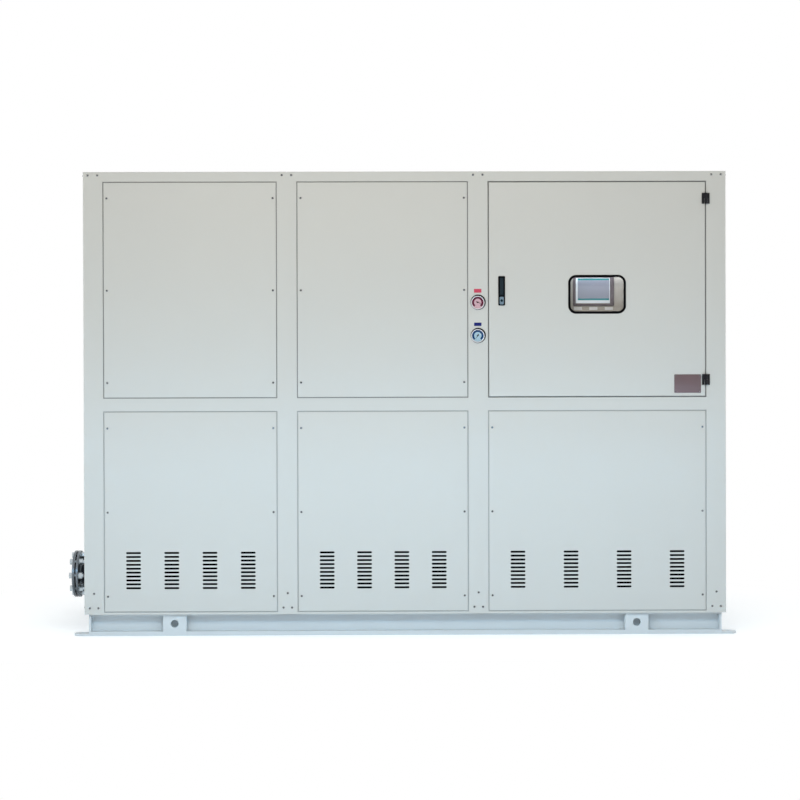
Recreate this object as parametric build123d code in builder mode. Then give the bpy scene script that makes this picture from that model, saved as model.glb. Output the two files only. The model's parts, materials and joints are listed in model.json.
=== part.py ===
from build123d import *
import os

os.makedirs("parts", exist_ok=True)

# Packaged water chiller: a closed sheet-steel cabinet on a channel base.
# X runs to the right along the front, Y runs from the front to the back, Z is up.
# The origin is on the floor, under the middle of the front foot flat.

# Cabinet frame
post_width = 80
bay_widths = [712, 702, 896]  # clear openings of the front, left to right
end_opening_width = 990
sill_height = 8
lower_opening_height = 824
middle_rail_height = 52
upper_opening_height = 886
top_rail_height = 38
roof_sheet = 2
frame_sheet = 2
frame_corner_chamfer = 2.5
rebate_depth = 22  # depth of the step that takes a panel flush with the posts
seat_width = 28  # flange behind the edge of a panel
top_lip = 60  # inward lip that carries the roof
roof_seam = 2
floor_sheet = 3

# Panels
panel_sheet = 2
panel_gap = 4
panel_edge_chamfer = 1.5

# Louvre slots in the lower panels
slot_length = 61
slot_height = 7
slot_pitch = 16
slots_in_group = 10
groups_in_panel = 4
outer_group_inset = 121.5  # from the side of the opening to the middle of a group
slot_block_height = 172  # from the foot of the opening to the middle of a group

# Base of two foot rails, end plates and cross members
foot_thickness = 10
foot_width = 60
foot_tab_length = 62
foot_tab_chamfer = 15
anchor_hole = 18
channel_height = 80
channel_flange = 43
channel_web = 5
channel_flange_thickness = 8
base_inset = 16  # how far the base stays inside the cabinet faces
end_plate_thickness = 8
lug_width = 95
lug_thickness = 12
lug_hole = 32
lug_centres = [-948, 950]  # along the front, from the middle of the cabinet

# Door of the control bay
door_gap = 5
door_depth = 17
hinge_end_distance = 72
hinge_height = 44
hinge_reach = 16
hinge_leaf_thickness = 4
hinge_standoff = 8  # from the door's face out to the pin's axis
hinge_knuckle_radius = 5.5
hinge_pin_radius = 3
hinge_fit = 0.05
hinge_knuckle_gap = 0.5

# Window in the door
window_centre_height = 422  # above the foot of the door's opening
pane_width = 223
pane_height = 145
pane_thickness = 4
pane_radius = 26
pane_play = 2  # between the pane's edge and the cut-out
seal_bite = 3  # how far the seal covers the edge of the pane
seal_lip = 5  # how far the seal covers the edge of the cut-out
seal_stand = 3

# Push-button lever latch
latch_from_edge = 57
latch_centre_height = 437
latch_plate_width = 28
latch_plate_height = 120
latch_plate_thickness = 3
latch_plate_radius = 4
latch_edge_chamfer = 1
latch_body_width = 23
latch_body_height = 114
latch_body_depth = 26
lever_width = 15
lever_length = 73
lever_thickness = 9
lever_tip_radius = 3.5
lever_play = 1.5
lever_sink = 1  # from the plate's face back to the lever's face
lever_pin_radius = 2
lever_pin_seat = 2  # how far the pin's ends are let into the pocket's walls
button_width = 16
button_height = 31
button_corner_radius = 3
button_stand = 2
button_depth = 15
button_travel = 4
button_play = 0.5
latch_margin = 4  # from the plate's ends to the lever pocket and the button

# Cover inside the door, and the touch screen on it
cover_depth = 82  # from the cabinet's face to the cover's face
cover_sheet = 2
screen_width = 169
screen_height = 123
screen_stand = 7
screen_chamfer = 1.5
display_width = 131
display_height = 90
display_recess = 1.5
display_from_top = 10
screen_body_margin = 8
screen_body_depth = 35
screen_body_play = 0.3
screen_rise = 18  # above the middle of the window
screen_shift = -6

# Pressure gauges on the post beside the door
gauge_heights = [1364, 1228]  # high pressure, low pressure
gauge_radius = 31.5
gauge_stand = 9
gauge_bezel_chamfer = 2
gauge_dial_radius = 25
gauge_dial_depth = 5

# Water connections on the left end
connection_setbacks = [430, 850]  # from the cabinet's front
connection_height = 215
connection_reach = 109  # from the cabinet's end to the outer flange's face
pipe_radius = 44.5
pipe_wall = 4
pipe_inside = 150
pipe_play = 0.3  # in the hole of the end panel
flange_radius = 100
flange_thickness = 11
flange_bore_radius = 45.5
flange_face_radius = 69  # raised face inside the ring of bolts
flange_face_height = 5
bolt_circle_radius = 80
bolt_count = 8
bolt_head_width = 24
bolt_head_height = 13

# Sizes that follow from the ones above
cabinet_width = 4 * post_width + sum(bay_widths)
cabinet_depth = 2 * post_width + end_opening_width
base_height = foot_thickness + channel_height
lower_opening_z = base_height + sill_height
middle_rail_z = lower_opening_z + lower_opening_height
upper_opening_z = middle_rail_z + middle_rail_height
top_rail_z = upper_opening_z + upper_opening_height
frame_top = top_rail_z + top_rail_height
left_x = -cabinet_width / 2
right_x = cabinet_width / 2
front_y = -(base_inset + foot_width / 2)
rear_y = front_y + cabinet_depth
middle_y = (front_y + rear_y) / 2
seat_depth = rebate_depth + frame_sheet
middle_depth = Plane((0, middle_y, 0), z_dir=(0, 1, 0))

# Each wall as a plane: X along the wall, Y up, Z out of the cabinet
front_wall = Plane((left_x, front_y, 0), x_dir=(1, 0, 0), z_dir=(0, -1, 0))
right_wall = Plane((right_x, front_y, 0), x_dir=(0, 1, 0), z_dir=(1, 0, 0))
rear_wall = Plane((right_x, rear_y, 0), x_dir=(-1, 0, 0), z_dir=(0, 1, 0))
left_wall = Plane((left_x, rear_y, 0), x_dir=(0, -1, 0), z_dir=(-1, 0, 0))


def opening_spans(widths):
    """Start and width of each opening along a wall, with a post before each."""
    starts = [post_width + sum(widths[:i]) + i * post_width for i in range(len(widths))]
    return list(zip(starts, widths))


front_spans = opening_spans(bay_widths)
rear_spans = opening_spans(bay_widths[::-1])
end_spans = opening_spans([end_opening_width])
middle_post_places = [start - post_width / 2 for start, width in front_spans[1:]]


def finish(piece, name):
    """Label one finished piece and write its file."""
    piece.part.label = name
    export_step(piece.part, f"parts/{name}.step")


def hat_outline(width):
    """Sheet section with its face on the X axis and a flange behind each side."""
    half = width / 2
    with BuildLine() as outline:
        Polyline(
            (0, 0),
            (half, 0),
            (half, rebate_depth),
            (half + seat_width, rebate_depth),
            (half + seat_width, seat_depth),
            (half - frame_sheet, seat_depth),
            (half - frame_sheet, frame_sheet),
            (0, frame_sheet),
        )
        mirror(about=Plane.YZ)
    make_face(outline.line)


def corner_outline():
    """Sheet section of a corner post, with a face and a flange on two sides."""
    with BuildLine() as outline:
        Polyline(
            (0, 0),
            (post_width, 0),
            (post_width, rebate_depth),
            (post_width + seat_width, rebate_depth),
            (post_width + seat_width, seat_depth),
            (post_width - frame_sheet, seat_depth),
            (post_width - frame_sheet, frame_sheet),
            (frame_sheet, frame_sheet),
        )
        mirror(about=Plane((0, 0, 0), x_dir=(1, 1, 0), z_dir=(1, -1, 0)))
    make_face(outline.line)


def edge_outline(face_height, lip):
    """Sheet section with one flange: X runs from the outer edge to the opening."""
    with BuildLine() as outline:
        Polyline(
            (0, 0),
            (face_height, 0),
            (face_height, rebate_depth),
            (face_height + seat_width, rebate_depth),
            (face_height + seat_width, seat_depth),
            (face_height - frame_sheet, seat_depth),
            (face_height - frame_sheet, frame_sheet),
            (frame_sheet, frame_sheet),
            (frame_sheet, lip),
            (0, lip),
            close=True,
        )
    make_face(outline.line)


def upright_plane(wall, place):
    """Ground plane of a post: X along the wall, Y into the cabinet."""
    return Plane(wall.from_local_coords((place, base_height, 0)), x_dir=wall.x_dir, z_dir=(0, 0, 1))


def rail_plane(wall, start, height):
    """Section plane of a rail that runs along the wall: X down, Y into the cabinet."""
    return Plane(wall.from_local_coords((start, height, 0)), x_dir=(0, 0, -1), z_dir=wall.x_dir)


def post_notches(wall, span, bottom, top):
    """Cut the rail's flanges clear of the posts' flanges at both ends of an opening."""
    start, width = span
    with BuildSketch(wall.offset(-rebate_depth)) as notches:
        for end in (start + seat_width / 2, start + width - seat_width / 2):
            with Locations((end, (bottom + top) / 2)):
                Rectangle(seat_width, top - bottom + 2 * seat_width)
    extrude(notches.sketch, amount=-frame_sheet, mode=Mode.SUBTRACT)


def corner_posts():
    corners = {
        "front_left_corner_post": ((left_x, front_y, base_height), (1, 0, 0)),
        "front_right_corner_post": ((right_x, front_y, base_height), (0, 1, 0)),
        "rear_right_corner_post": ((right_x, rear_y, base_height), (-1, 0, 0)),
        "rear_left_corner_post": ((left_x, rear_y, base_height), (0, -1, 0)),
    }
    for name, (corner, direction) in corners.items():
        with BuildPart() as post:
            with BuildSketch(Plane(corner, x_dir=direction, z_dir=(0, 0, 1))):
                corner_outline()
            extrude(amount=frame_top - base_height)
            chamfer(edges_at(post, corner), length=frame_corner_chamfer)
        finish(post, name)


def edges_at(piece, corner):
    """Upright edges of a piece that stand over one point."""
    x, y, z = corner
    uprights = piece.edges().filter_by(Axis.Z)
    return uprights.filter_by(lambda edge: abs(edge.center().X - x) + abs(edge.center().Y - y) < 0.01)


def middle_posts():
    for name, place in zip(["front_post_2", "front_post_3"], middle_post_places):
        with BuildPart() as post:
            with BuildSketch(upright_plane(front_wall, place)):
                hat_outline(post_width)
            extrude(amount=frame_top - base_height)
        finish(post, name)
    with BuildPart() as post:
        for place in middle_post_places:
            with BuildSketch(upright_plane(rear_wall, cabinet_width - place)):
                hat_outline(post_width)
        extrude(amount=frame_top - base_height)
    finish(post, "rear_middle_posts")


def top_rails():
    rails = {"front_top_rails": [(front_wall, front_spans)], "rear_top_rails": [(rear_wall, rear_spans)]}
    rails["end_top_rails"] = [(left_wall, end_spans), (right_wall, end_spans)]
    for name, walls in rails.items():
        with BuildPart() as rail:
            for wall, spans in walls:
                for start, width in spans:
                    with BuildSketch(rail_plane(wall, start, frame_top)):
                        edge_outline(top_rail_height, top_lip)
                    extrude(amount=width)
                    post_notches(wall, (start, width), top_rail_z, frame_top)
        finish(rail, name)


def middle_rails():
    rails = {"front_middle_rails": [(front_wall, front_spans)], "rear_middle_rails": [(rear_wall, rear_spans)]}
    rails["end_middle_rails"] = [(left_wall, end_spans), (right_wall, end_spans)]
    for name, walls in rails.items():
        with BuildPart() as rail:
            for wall, spans in walls:
                for start, width in spans:
                    with BuildSketch(rail_plane(wall, start, middle_rail_z + middle_rail_height / 2)):
                        hat_outline(middle_rail_height)
                    extrude(amount=width)
                    post_notches(wall, (start, width), middle_rail_z, upper_opening_z)
        finish(rail, name)


def floor_pan():
    """Floor sheet between the posts, with a raised sill and flange along each opening."""
    with BuildPart() as pan:
        with BuildSketch(Plane.XY.offset(base_height)):
            with Locations((0, middle_y)):
                Rectangle(cabinet_width - 2 * post_width, cabinet_depth - 2 * seat_depth)
                Rectangle(cabinet_width - 2 * seat_depth, cabinet_depth - 2 * post_width)
            for wall, spans in ((front_wall, front_spans), (rear_wall, rear_spans)):
                for start, width in spans:
                    with Locations(wall.from_local_coords((start + width / 2, 0, -seat_depth / 2))):
                        Rectangle(width, seat_depth)
            for wall in (left_wall, right_wall):
                start, width = end_spans[0]
                with Locations(wall.from_local_coords((start + width / 2, 0, -seat_depth / 2))):
                    Rectangle(seat_depth, width)
        extrude(amount=floor_sheet)
        for wall, spans in (
            (front_wall, front_spans),
            (rear_wall, rear_spans),
            (left_wall, end_spans),
            (right_wall, end_spans),
        ):
            for start, width in spans:
                with BuildSketch(wall):
                    with Locations((start + width / 2, base_height + sill_height / 2)):
                        Rectangle(width, sill_height)
                extrude(amount=-rebate_depth)
                with BuildSketch(wall.offset(-rebate_depth)):
                    with Locations((start + width / 2, base_height + (sill_height + seat_width) / 2)):
                        Rectangle(width - 2 * seat_width, sill_height + seat_width)
                extrude(amount=-frame_sheet)
                post_notches(wall, (start, width), base_height, lower_opening_z)
    finish(pan, "floor_pan")


def folded_panel(wall, span, bottom, height, name, holes=None):
    """Sheet panel with its edges folded back on to the flanges of the frame."""
    start, width = span
    centre = (start + width / 2, bottom + height / 2)
    with BuildPart() as panel:
        with BuildSketch(wall):
            with Locations(centre):
                Rectangle(width - 2 * panel_gap, height - 2 * panel_gap)
        extrude(amount=-rebate_depth)
        outer = panel.faces().sort_by(Axis(wall.origin, wall.z_dir))[-1]
        chamfer(outer.edges(), length=panel_edge_chamfer)
        with BuildSketch(wall.offset(-panel_sheet)):
            with Locations(centre):
                Rectangle(width - 2 * (panel_gap + panel_sheet), height - 2 * (panel_gap + panel_sheet))
        extrude(amount=panel_sheet - rebate_depth, mode=Mode.SUBTRACT)
        if holes:
            with BuildSketch(wall):
                holes(span, bottom)
            extrude(amount=-panel_sheet, mode=Mode.SUBTRACT)
    if name:
        finish(panel, name)
    return panel.part


def louvre_slots(span, bottom):
    """Four upright groups of slots across the foot of a panel."""
    start, width = span
    spacing = (width - 2 * outer_group_inset) / (groups_in_panel - 1)
    with Locations((start + width / 2, bottom + slot_block_height)):
        with GridLocations(spacing, slot_pitch, groups_in_panel, slots_in_group):
            Rectangle(slot_length, slot_height)


def pipe_holes(span, bottom):
    """Round holes in the left end where the water pipes come out."""
    with Locations(*[(cabinet_depth - setback, connection_height) for setback in connection_setbacks]):
        Circle(pipe_radius + pipe_play)


def fixed_panels():
    for index, span in enumerate(front_spans[:2], start=1):
        folded_panel(front_wall, span, upper_opening_z, upper_opening_height, f"front_upper_panel_{index}")
    for index, span in enumerate(front_spans, start=1):
        name = f"front_lower_panel_{index}"
        folded_panel(front_wall, span, lower_opening_z, lower_opening_height, name, louvre_slots)
    rear_rows = {
        "rear_upper_panels": (upper_opening_z, upper_opening_height, None),
        "rear_lower_panels": (lower_opening_z, lower_opening_height, None),
    }
    for name, (bottom, height, holes) in rear_rows.items():
        sheets = [folded_panel(rear_wall, span, bottom, height, None, holes) for span in rear_spans]
        with BuildPart() as row:
            add(sheets)
        finish(row, name)
    end = end_spans[0]
    folded_panel(left_wall, end, upper_opening_z, upper_opening_height, "left_upper_panel")
    folded_panel(left_wall, end, lower_opening_z, lower_opening_height, "left_lower_panel", pipe_holes)
    folded_panel(right_wall, end, upper_opening_z, upper_opening_height, "right_upper_panel")
    folded_panel(right_wall, end, lower_opening_z, lower_opening_height, "right_lower_panel")


def roof_panels():
    """Three sheets on the top of the frame, meeting over the middle posts."""
    seams = [left_x, *[left_x + place for place in middle_post_places], right_x]
    with BuildPart() as roof:
        for index, (start, end) in enumerate(zip(seams, seams[1:])):
            trim_left = roof_seam / 2 if index > 0 else 0
            trim_right = roof_seam / 2 if index < len(seams) - 2 else 0
            with BuildSketch(Plane.XY.offset(frame_top)):
                with Locations(((start + trim_left + end - trim_right) / 2, middle_y)):
                    Rectangle(end - start - trim_left - trim_right, cabinet_depth)
            extrude(amount=roof_sheet)
    finish(roof, "roof_panels")


def foot_rail(name, reverse=False):
    """Channel with its toes outward, welded on a foot flat, with two lifting lugs."""
    length = cabinet_width - 2 * base_inset
    toe_y = front_y + base_inset
    web_y = toe_y + channel_flange
    with BuildPart() as rail:
        with BuildSketch(Plane.XY):
            Rectangle(length + 2 * foot_tab_length, foot_width)
        extrude(amount=foot_thickness)
        chamfer(rail.edges().filter_by(Axis.Z), length=foot_tab_chamfer)
        with BuildSketch(Plane.XY):
            with GridLocations(length + foot_tab_length, 0, 2, 1):
                Circle(anchor_hole / 2)
        extrude(amount=foot_thickness, mode=Mode.SUBTRACT)
        section = Plane((end_plate_thickness - length / 2, 0, 0), x_dir=(0, 1, 0), z_dir=(1, 0, 0))
        with BuildSketch(section):
            with BuildLine():
                Polyline(
                    (toe_y, foot_thickness),
                    (web_y, foot_thickness),
                    (web_y, base_height),
                    (toe_y, base_height),
                    (toe_y, base_height - channel_flange_thickness),
                    (web_y - channel_web, base_height - channel_flange_thickness),
                    (web_y - channel_web, foot_thickness + channel_flange_thickness),
                    (toe_y, foot_thickness + channel_flange_thickness),
                    close=True,
                )
            make_face()
        extrude(amount=length - 2 * end_plate_thickness)
        with BuildSketch(Plane((0, toe_y, 0), x_dir=(1, 0, 0), z_dir=(0, -1, 0))):
            with Locations(*[(place, foot_thickness + channel_height / 2) for place in lug_centres]):
                Rectangle(lug_width, channel_height - 2 * channel_flange_thickness)
                Circle(lug_hole / 2, mode=Mode.SUBTRACT)
        extrude(amount=-lug_thickness)
        if reverse:
            mirror(rail.part, about=middle_depth, mode=Mode.REPLACE)
    finish(rail, name)


def base_members():
    """End plates and cross members between the two foot rails."""
    inner_length = cabinet_width - 2 * base_inset - end_plate_thickness
    with BuildPart() as plates:
        with BuildSketch(Plane.XY.offset(foot_thickness)):
            with Locations((0, middle_y)):
                with GridLocations(inner_length, 0, 2, 1):
                    Rectangle(end_plate_thickness, cabinet_depth - 2 * base_inset)
        extrude(amount=channel_height)
    finish(plates, "base_end_plates")
    web_y = front_y + base_inset + channel_flange
    with BuildPart() as members:
        for place in middle_post_places:
            with BuildSketch(Plane((left_x + place, web_y, 0), x_dir=(-1, 0, 0), z_dir=(0, 1, 0))):
                with Locations((0, foot_thickness + channel_height / 2)):
                    Rectangle(channel_flange, channel_height)
                with Locations((channel_web / 2, foot_thickness + channel_height / 2)):
                    inner = channel_height - 2 * channel_flange_thickness
                    Rectangle(channel_flange - channel_web, inner, mode=Mode.SUBTRACT)
            extrude(amount=2 * (middle_y - web_y))
    finish(members, "base_cross_members")


# The door's opening, as its left edge, width and foot on the front wall
door_start, door_width = front_spans[2]
door_centre = door_start + door_width / 2
window_centre = (door_centre, upper_opening_z + window_centre_height)
latch_centre = (door_start + latch_from_edge, upper_opening_z + latch_centre_height)
cutout_width = pane_width + 2 * pane_play
cutout_height = pane_height + 2 * pane_play
cutout_radius = pane_radius + pane_play


def door():
    centre = (door_centre, upper_opening_z + upper_opening_height / 2)
    width = door_width - 2 * door_gap
    height = upper_opening_height - 2 * door_gap
    with BuildPart() as leaf:
        with BuildSketch(front_wall):
            with Locations(centre):
                Rectangle(width, height)
        extrude(amount=-door_depth)
        outer = leaf.faces().sort_by(Axis.Y)[0]
        chamfer(outer.edges(), length=panel_edge_chamfer)
        with BuildSketch(front_wall.offset(-panel_sheet)):
            with Locations(centre):
                Rectangle(width - 2 * panel_sheet, height - 2 * panel_sheet)
        extrude(amount=panel_sheet - door_depth, mode=Mode.SUBTRACT)
        with BuildSketch(front_wall):
            with Locations(window_centre):
                RectangleRounded(cutout_width, cutout_height, cutout_radius)
            with Locations(latch_centre):
                Rectangle(latch_body_width, latch_body_height)
        extrude(amount=-panel_sheet, mode=Mode.SUBTRACT)
    finish(leaf, "door")


def window():
    """Rubber seal on the door's face, with the pane behind it in the cut-out."""
    with BuildPart() as seal:
        with BuildSketch(front_wall):
            with Locations(window_centre):
                lip_width = cutout_width + 2 * seal_lip
                bite_width = pane_width - 2 * seal_bite
                RectangleRounded(lip_width, cutout_height + 2 * seal_lip, cutout_radius + seal_lip)
                RectangleRounded(
                    bite_width, pane_height - 2 * seal_bite, pane_radius - seal_bite, mode=Mode.SUBTRACT
                )
        extrude(amount=seal_stand)
    finish(seal, "window_seal")
    with BuildPart() as pane:
        with BuildSketch(front_wall):
            with Locations(window_centre):
                RectangleRounded(pane_width, pane_height, pane_radius)
        extrude(amount=-pane_thickness)
    finish(pane, "window_pane")


hinge_x = left_x + door_start + door_width - door_gap / 2
hinge_y = front_y - hinge_standoff
hinge_feet = [
    upper_opening_z + hinge_end_distance - hinge_height / 2,
    top_rail_z - hinge_end_distance - hinge_height / 2,
]


def leaf_outline(side):
    """Leaf, web and knuckle of a hinge about the pin; side is 1 for the post, -1 for the door."""
    Circle(hinge_knuckle_radius)
    with BuildLine() as outline:
        Polyline(
            (0, -hinge_knuckle_radius),
            (side * (hinge_reach - hinge_leaf_thickness), hinge_standoff - hinge_leaf_thickness),
            (side * (hinge_reach - hinge_leaf_thickness), hinge_standoff),
            (side * door_gap, hinge_standoff),
            (0, hinge_knuckle_radius),
            close=True,
        )
    make_face(outline.line)


def hinge_leaves(side, name):
    """Both hinges' leaves on one side; the door's knuckles lift off the post's pins."""
    knuckle_height = (hinge_height - hinge_knuckle_gap) / 2
    plate_width = hinge_reach - hinge_knuckle_radius - 1
    with BuildPart() as leaves:
        for foot in hinge_feet:
            base = Plane((hinge_x, hinge_y, foot))
            with BuildSketch(base):
                with Locations((side * (hinge_reach - plate_width / 2), hinge_standoff - hinge_leaf_thickness / 2)):
                    Rectangle(plate_width, hinge_leaf_thickness)
            extrude(amount=hinge_height)
            if side > 0:
                with BuildSketch(base):
                    leaf_outline(side)
                extrude(amount=knuckle_height)
                with BuildSketch(base):
                    Circle(hinge_pin_radius)
                extrude(amount=hinge_height)
            else:
                with BuildSketch(base.offset(hinge_height - knuckle_height)):
                    leaf_outline(side)
                    Circle(hinge_pin_radius + hinge_fit, mode=Mode.SUBTRACT)
                extrude(amount=knuckle_height)
    finish(leaves, name)


# Places on the latch, up and down from its centre
lever_pocket_height = lever_length + 2 * lever_play
button_bore_height = button_height + 2 * button_play
lever_pocket_z = latch_centre[1] + latch_plate_height / 2 - latch_margin - lever_pocket_height / 2
button_z = latch_centre[1] - latch_plate_height / 2 + latch_margin + button_bore_height / 2
lever_axis_z = lever_pocket_z + lever_length / 2 - lever_thickness / 2
lever_face = latch_plate_thickness - lever_sink  # in front of the door's face
lever_axis_y = front_y - lever_face + lever_thickness / 2
pocket_depth = lever_thickness - lever_face + lever_play  # behind the door's face


def latch():
    with BuildPart() as housing:
        with BuildSketch(front_wall):
            with Locations(latch_centre):
                RectangleRounded(latch_plate_width, latch_plate_height, latch_plate_radius)
        extrude(amount=latch_plate_thickness)
        chamfer(housing.faces().sort_by(Axis.Y)[0].edges(), length=latch_edge_chamfer)
        with BuildSketch(front_wall):
            with Locations(latch_centre):
                Rectangle(latch_body_width, latch_body_height)
        extrude(amount=-latch_body_depth)
        with BuildSketch(front_wall.offset(latch_plate_thickness)):
            with Locations((latch_centre[0], lever_pocket_z)):
                Rectangle(lever_width + 2 * lever_play, lever_pocket_height)
        extrude(amount=-latch_plate_thickness - pocket_depth, mode=Mode.SUBTRACT)
        with BuildSketch(front_wall.offset(latch_plate_thickness)):
            with Locations((latch_centre[0], button_z)):
                button_outline(button_play)
        extrude(amount=-button_stand - button_depth - button_travel, mode=Mode.SUBTRACT)
        with BuildSketch(lever_pin_plane()):
            Circle(lever_pin_radius)
        extrude(amount=lever_width / 2 + lever_play + lever_pin_seat, both=True)
    finish(housing, "latch_housing")
    with BuildPart() as lever:
        with BuildSketch(lever_pin_plane()):
            half = lever_thickness / 2
            Circle(half)
            with Locations((0, (half - lever_length) / 2)):
                Rectangle(lever_thickness, lever_length - half)
            Circle(lever_pin_radius + hinge_fit, mode=Mode.SUBTRACT)
        extrude(amount=lever_width / 2, both=True)
        tip = lever.faces().sort_by(Axis.Z)[0].edges().filter_by(Axis.X)
        fillet(tip.sort_by(Axis.Y)[0], radius=lever_tip_radius)
    finish(lever, "latch_lever")
    with BuildPart() as button:
        with BuildSketch(front_wall.offset(latch_plate_thickness + button_stand)):
            with Locations((latch_centre[0], button_z)):
                button_outline(0)
        extrude(amount=-button_stand - button_depth)
        chamfer(button.faces().sort_by(Axis.Y)[0].edges(), length=latch_edge_chamfer)
    finish(button, "latch_button")


def button_outline(play):
    """Outline of the push button, or of its bore when there is play round it."""
    RectangleRounded(button_width + 2 * play, button_height + 2 * play, button_corner_radius + play)


def lever_pin_plane():
    """Plane through the middle of the lever, with Y up and its normal along the pin."""
    return Plane((left_x + latch_centre[0], lever_axis_y, lever_axis_z), x_dir=(0, 1, 0), z_dir=(1, 0, 0))


def inner_cover():
    """Folded cover behind the door, seated on the back of the frame's flanges."""
    centre = (door_centre, upper_opening_z + upper_opening_height / 2)
    width = door_width
    height = upper_opening_height
    with BuildPart() as cover:
        with BuildSketch(front_wall.offset(-seat_depth)):
            with Locations(centre):
                Rectangle(width, height)
        extrude(amount=seat_depth - cover_depth - cover_sheet)
        with BuildSketch(front_wall.offset(-seat_depth)):
            with Locations(centre):
                Rectangle(width - 2 * cover_sheet, height - 2 * cover_sheet)
        extrude(amount=seat_depth - cover_depth, mode=Mode.SUBTRACT)
        with BuildSketch(front_wall.offset(-cover_depth)):
            with Locations(screen_centre()):
                Rectangle(screen_width - 2 * screen_body_margin, screen_height - 2 * screen_body_margin)
        extrude(amount=-cover_sheet, mode=Mode.SUBTRACT)
    finish(cover, "inner_cover")


def screen_centre():
    return (window_centre[0] + screen_shift, window_centre[1] + screen_rise)


def touch_screen():
    display_z = screen_centre()[1] + (screen_height - display_height) / 2 - display_from_top
    with BuildPart() as screen:
        with BuildSketch(front_wall.offset(-cover_depth)):
            with Locations(screen_centre()):
                Rectangle(screen_width, screen_height)
        extrude(amount=screen_stand)
        chamfer(screen.faces().sort_by(Axis.Y)[0].edges(), length=screen_chamfer)
        with BuildSketch(front_wall.offset(-cover_depth)):
            with Locations(screen_centre()):
                inset = screen_body_margin + screen_body_play
                Rectangle(screen_width - 2 * inset, screen_height - 2 * inset)
        extrude(amount=-screen_body_depth)
        with BuildSketch(front_wall.offset(screen_stand - cover_depth)):
            with Locations((screen_centre()[0], display_z)):
                Rectangle(display_width, display_height)
        extrude(amount=-display_recess, mode=Mode.SUBTRACT)
    finish(screen, "touch_screen")


def gauges():
    """Each gauge is one turned head on the post, with a chamfered bezel and a sunk dial."""
    with BuildPart() as heads:
        for height in gauge_heights:
            place = front_wall.from_local_coords((middle_post_places[-1], height, 0))
            with BuildSketch(Plane(place, x_dir=(1, 0, 0), z_dir=(0, 0, 1))):
                with BuildLine():
                    Polyline(
                        (0, gauge_dial_depth - gauge_stand),
                        (gauge_dial_radius, gauge_dial_depth - gauge_stand),
                        (gauge_dial_radius, -gauge_stand),
                        (gauge_radius - gauge_bezel_chamfer, -gauge_stand),
                        (gauge_radius, gauge_bezel_chamfer - gauge_stand),
                        (gauge_radius, 0),
                        (0, 0),
                        close=True,
                    )
                make_face()
            revolve(axis=Axis(place, (0, 1, 0)))
    finish(heads, "pressure_gauges")


# Planes across each water pipe at the cabinet's end, with Z out along the pipe
pipe_planes = [
    Plane((left_x, front_y + setback, connection_height), x_dir=(0, -1, 0), z_dir=(-1, 0, 0))
    for setback in connection_setbacks
]
joint_face = connection_reach - flange_thickness  # where the two flanges of a pair meet
flange_back = joint_face - flange_face_height - flange_thickness


def ring(plane, outer, inner, thickness):
    """Flat ring drawn on a plane and thickened along its normal."""
    with BuildSketch(plane) as section:
        Circle(outer)
        Circle(inner, mode=Mode.SUBTRACT)
    extrude(section.sketch, amount=thickness)


def water_connections():
    """A welded flange on each pipe, and a companion flange with the heads of its bolts."""
    pipe_bore = pipe_radius - pipe_wall
    with BuildPart() as pipes:
        for plane in pipe_planes:
            ring(plane.offset(-pipe_inside), pipe_radius, pipe_bore, pipe_inside + joint_face)
            ring(plane.offset(flange_back), flange_radius, pipe_bore, flange_thickness)
            ring(plane.offset(flange_back), flange_face_radius, pipe_bore, joint_face - flange_back)
    finish(pipes, "water_pipes")
    with BuildPart() as companions:
        for plane in pipe_planes:
            ring(plane.offset(joint_face), flange_radius, flange_bore_radius, flange_thickness)
            with BuildSketch(plane.offset(connection_reach)):
                with PolarLocations(bolt_circle_radius, bolt_count):
                    RegularPolygon(bolt_head_width / 2, 6, major_radius=False)
            extrude(amount=bolt_head_height)
    finish(companions, "companion_flanges")


corner_posts()
middle_posts()
top_rails()
middle_rails()
floor_pan()
fixed_panels()
roof_panels()
foot_rail("front_foot_rail")
foot_rail("rear_foot_rail", reverse=True)
base_members()
door()
window()
hinge_leaves(1, "hinge_post_leaves")
hinge_leaves(-1, "hinge_door_leaves")
latch()
inner_cover()
touch_screen()
gauges()
water_connections()
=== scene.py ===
import bpy
import bmesh
import json
from math import copysign, cos, pi, radians, sin, sqrt
from mathutils import Matrix, Vector


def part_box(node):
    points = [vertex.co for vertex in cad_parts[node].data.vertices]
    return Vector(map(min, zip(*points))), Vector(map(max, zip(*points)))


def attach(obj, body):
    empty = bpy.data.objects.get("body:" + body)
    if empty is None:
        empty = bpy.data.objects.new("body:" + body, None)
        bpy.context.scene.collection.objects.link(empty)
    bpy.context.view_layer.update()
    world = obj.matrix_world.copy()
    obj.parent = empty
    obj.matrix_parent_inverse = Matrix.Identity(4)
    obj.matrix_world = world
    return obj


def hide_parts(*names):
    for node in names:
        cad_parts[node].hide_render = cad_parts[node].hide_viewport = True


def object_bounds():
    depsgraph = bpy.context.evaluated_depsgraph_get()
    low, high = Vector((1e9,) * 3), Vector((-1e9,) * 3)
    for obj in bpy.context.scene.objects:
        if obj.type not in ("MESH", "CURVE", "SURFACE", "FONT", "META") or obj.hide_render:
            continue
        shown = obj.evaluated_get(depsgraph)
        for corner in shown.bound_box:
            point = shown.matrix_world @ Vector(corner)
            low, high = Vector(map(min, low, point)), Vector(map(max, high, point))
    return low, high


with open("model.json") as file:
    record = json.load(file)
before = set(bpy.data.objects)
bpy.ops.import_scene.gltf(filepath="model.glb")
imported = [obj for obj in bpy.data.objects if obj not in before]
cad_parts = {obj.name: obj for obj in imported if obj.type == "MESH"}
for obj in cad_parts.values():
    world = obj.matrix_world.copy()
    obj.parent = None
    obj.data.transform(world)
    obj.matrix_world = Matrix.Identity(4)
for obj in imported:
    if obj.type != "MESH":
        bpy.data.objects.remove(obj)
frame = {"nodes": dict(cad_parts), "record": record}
cadLow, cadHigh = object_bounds()
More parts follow.
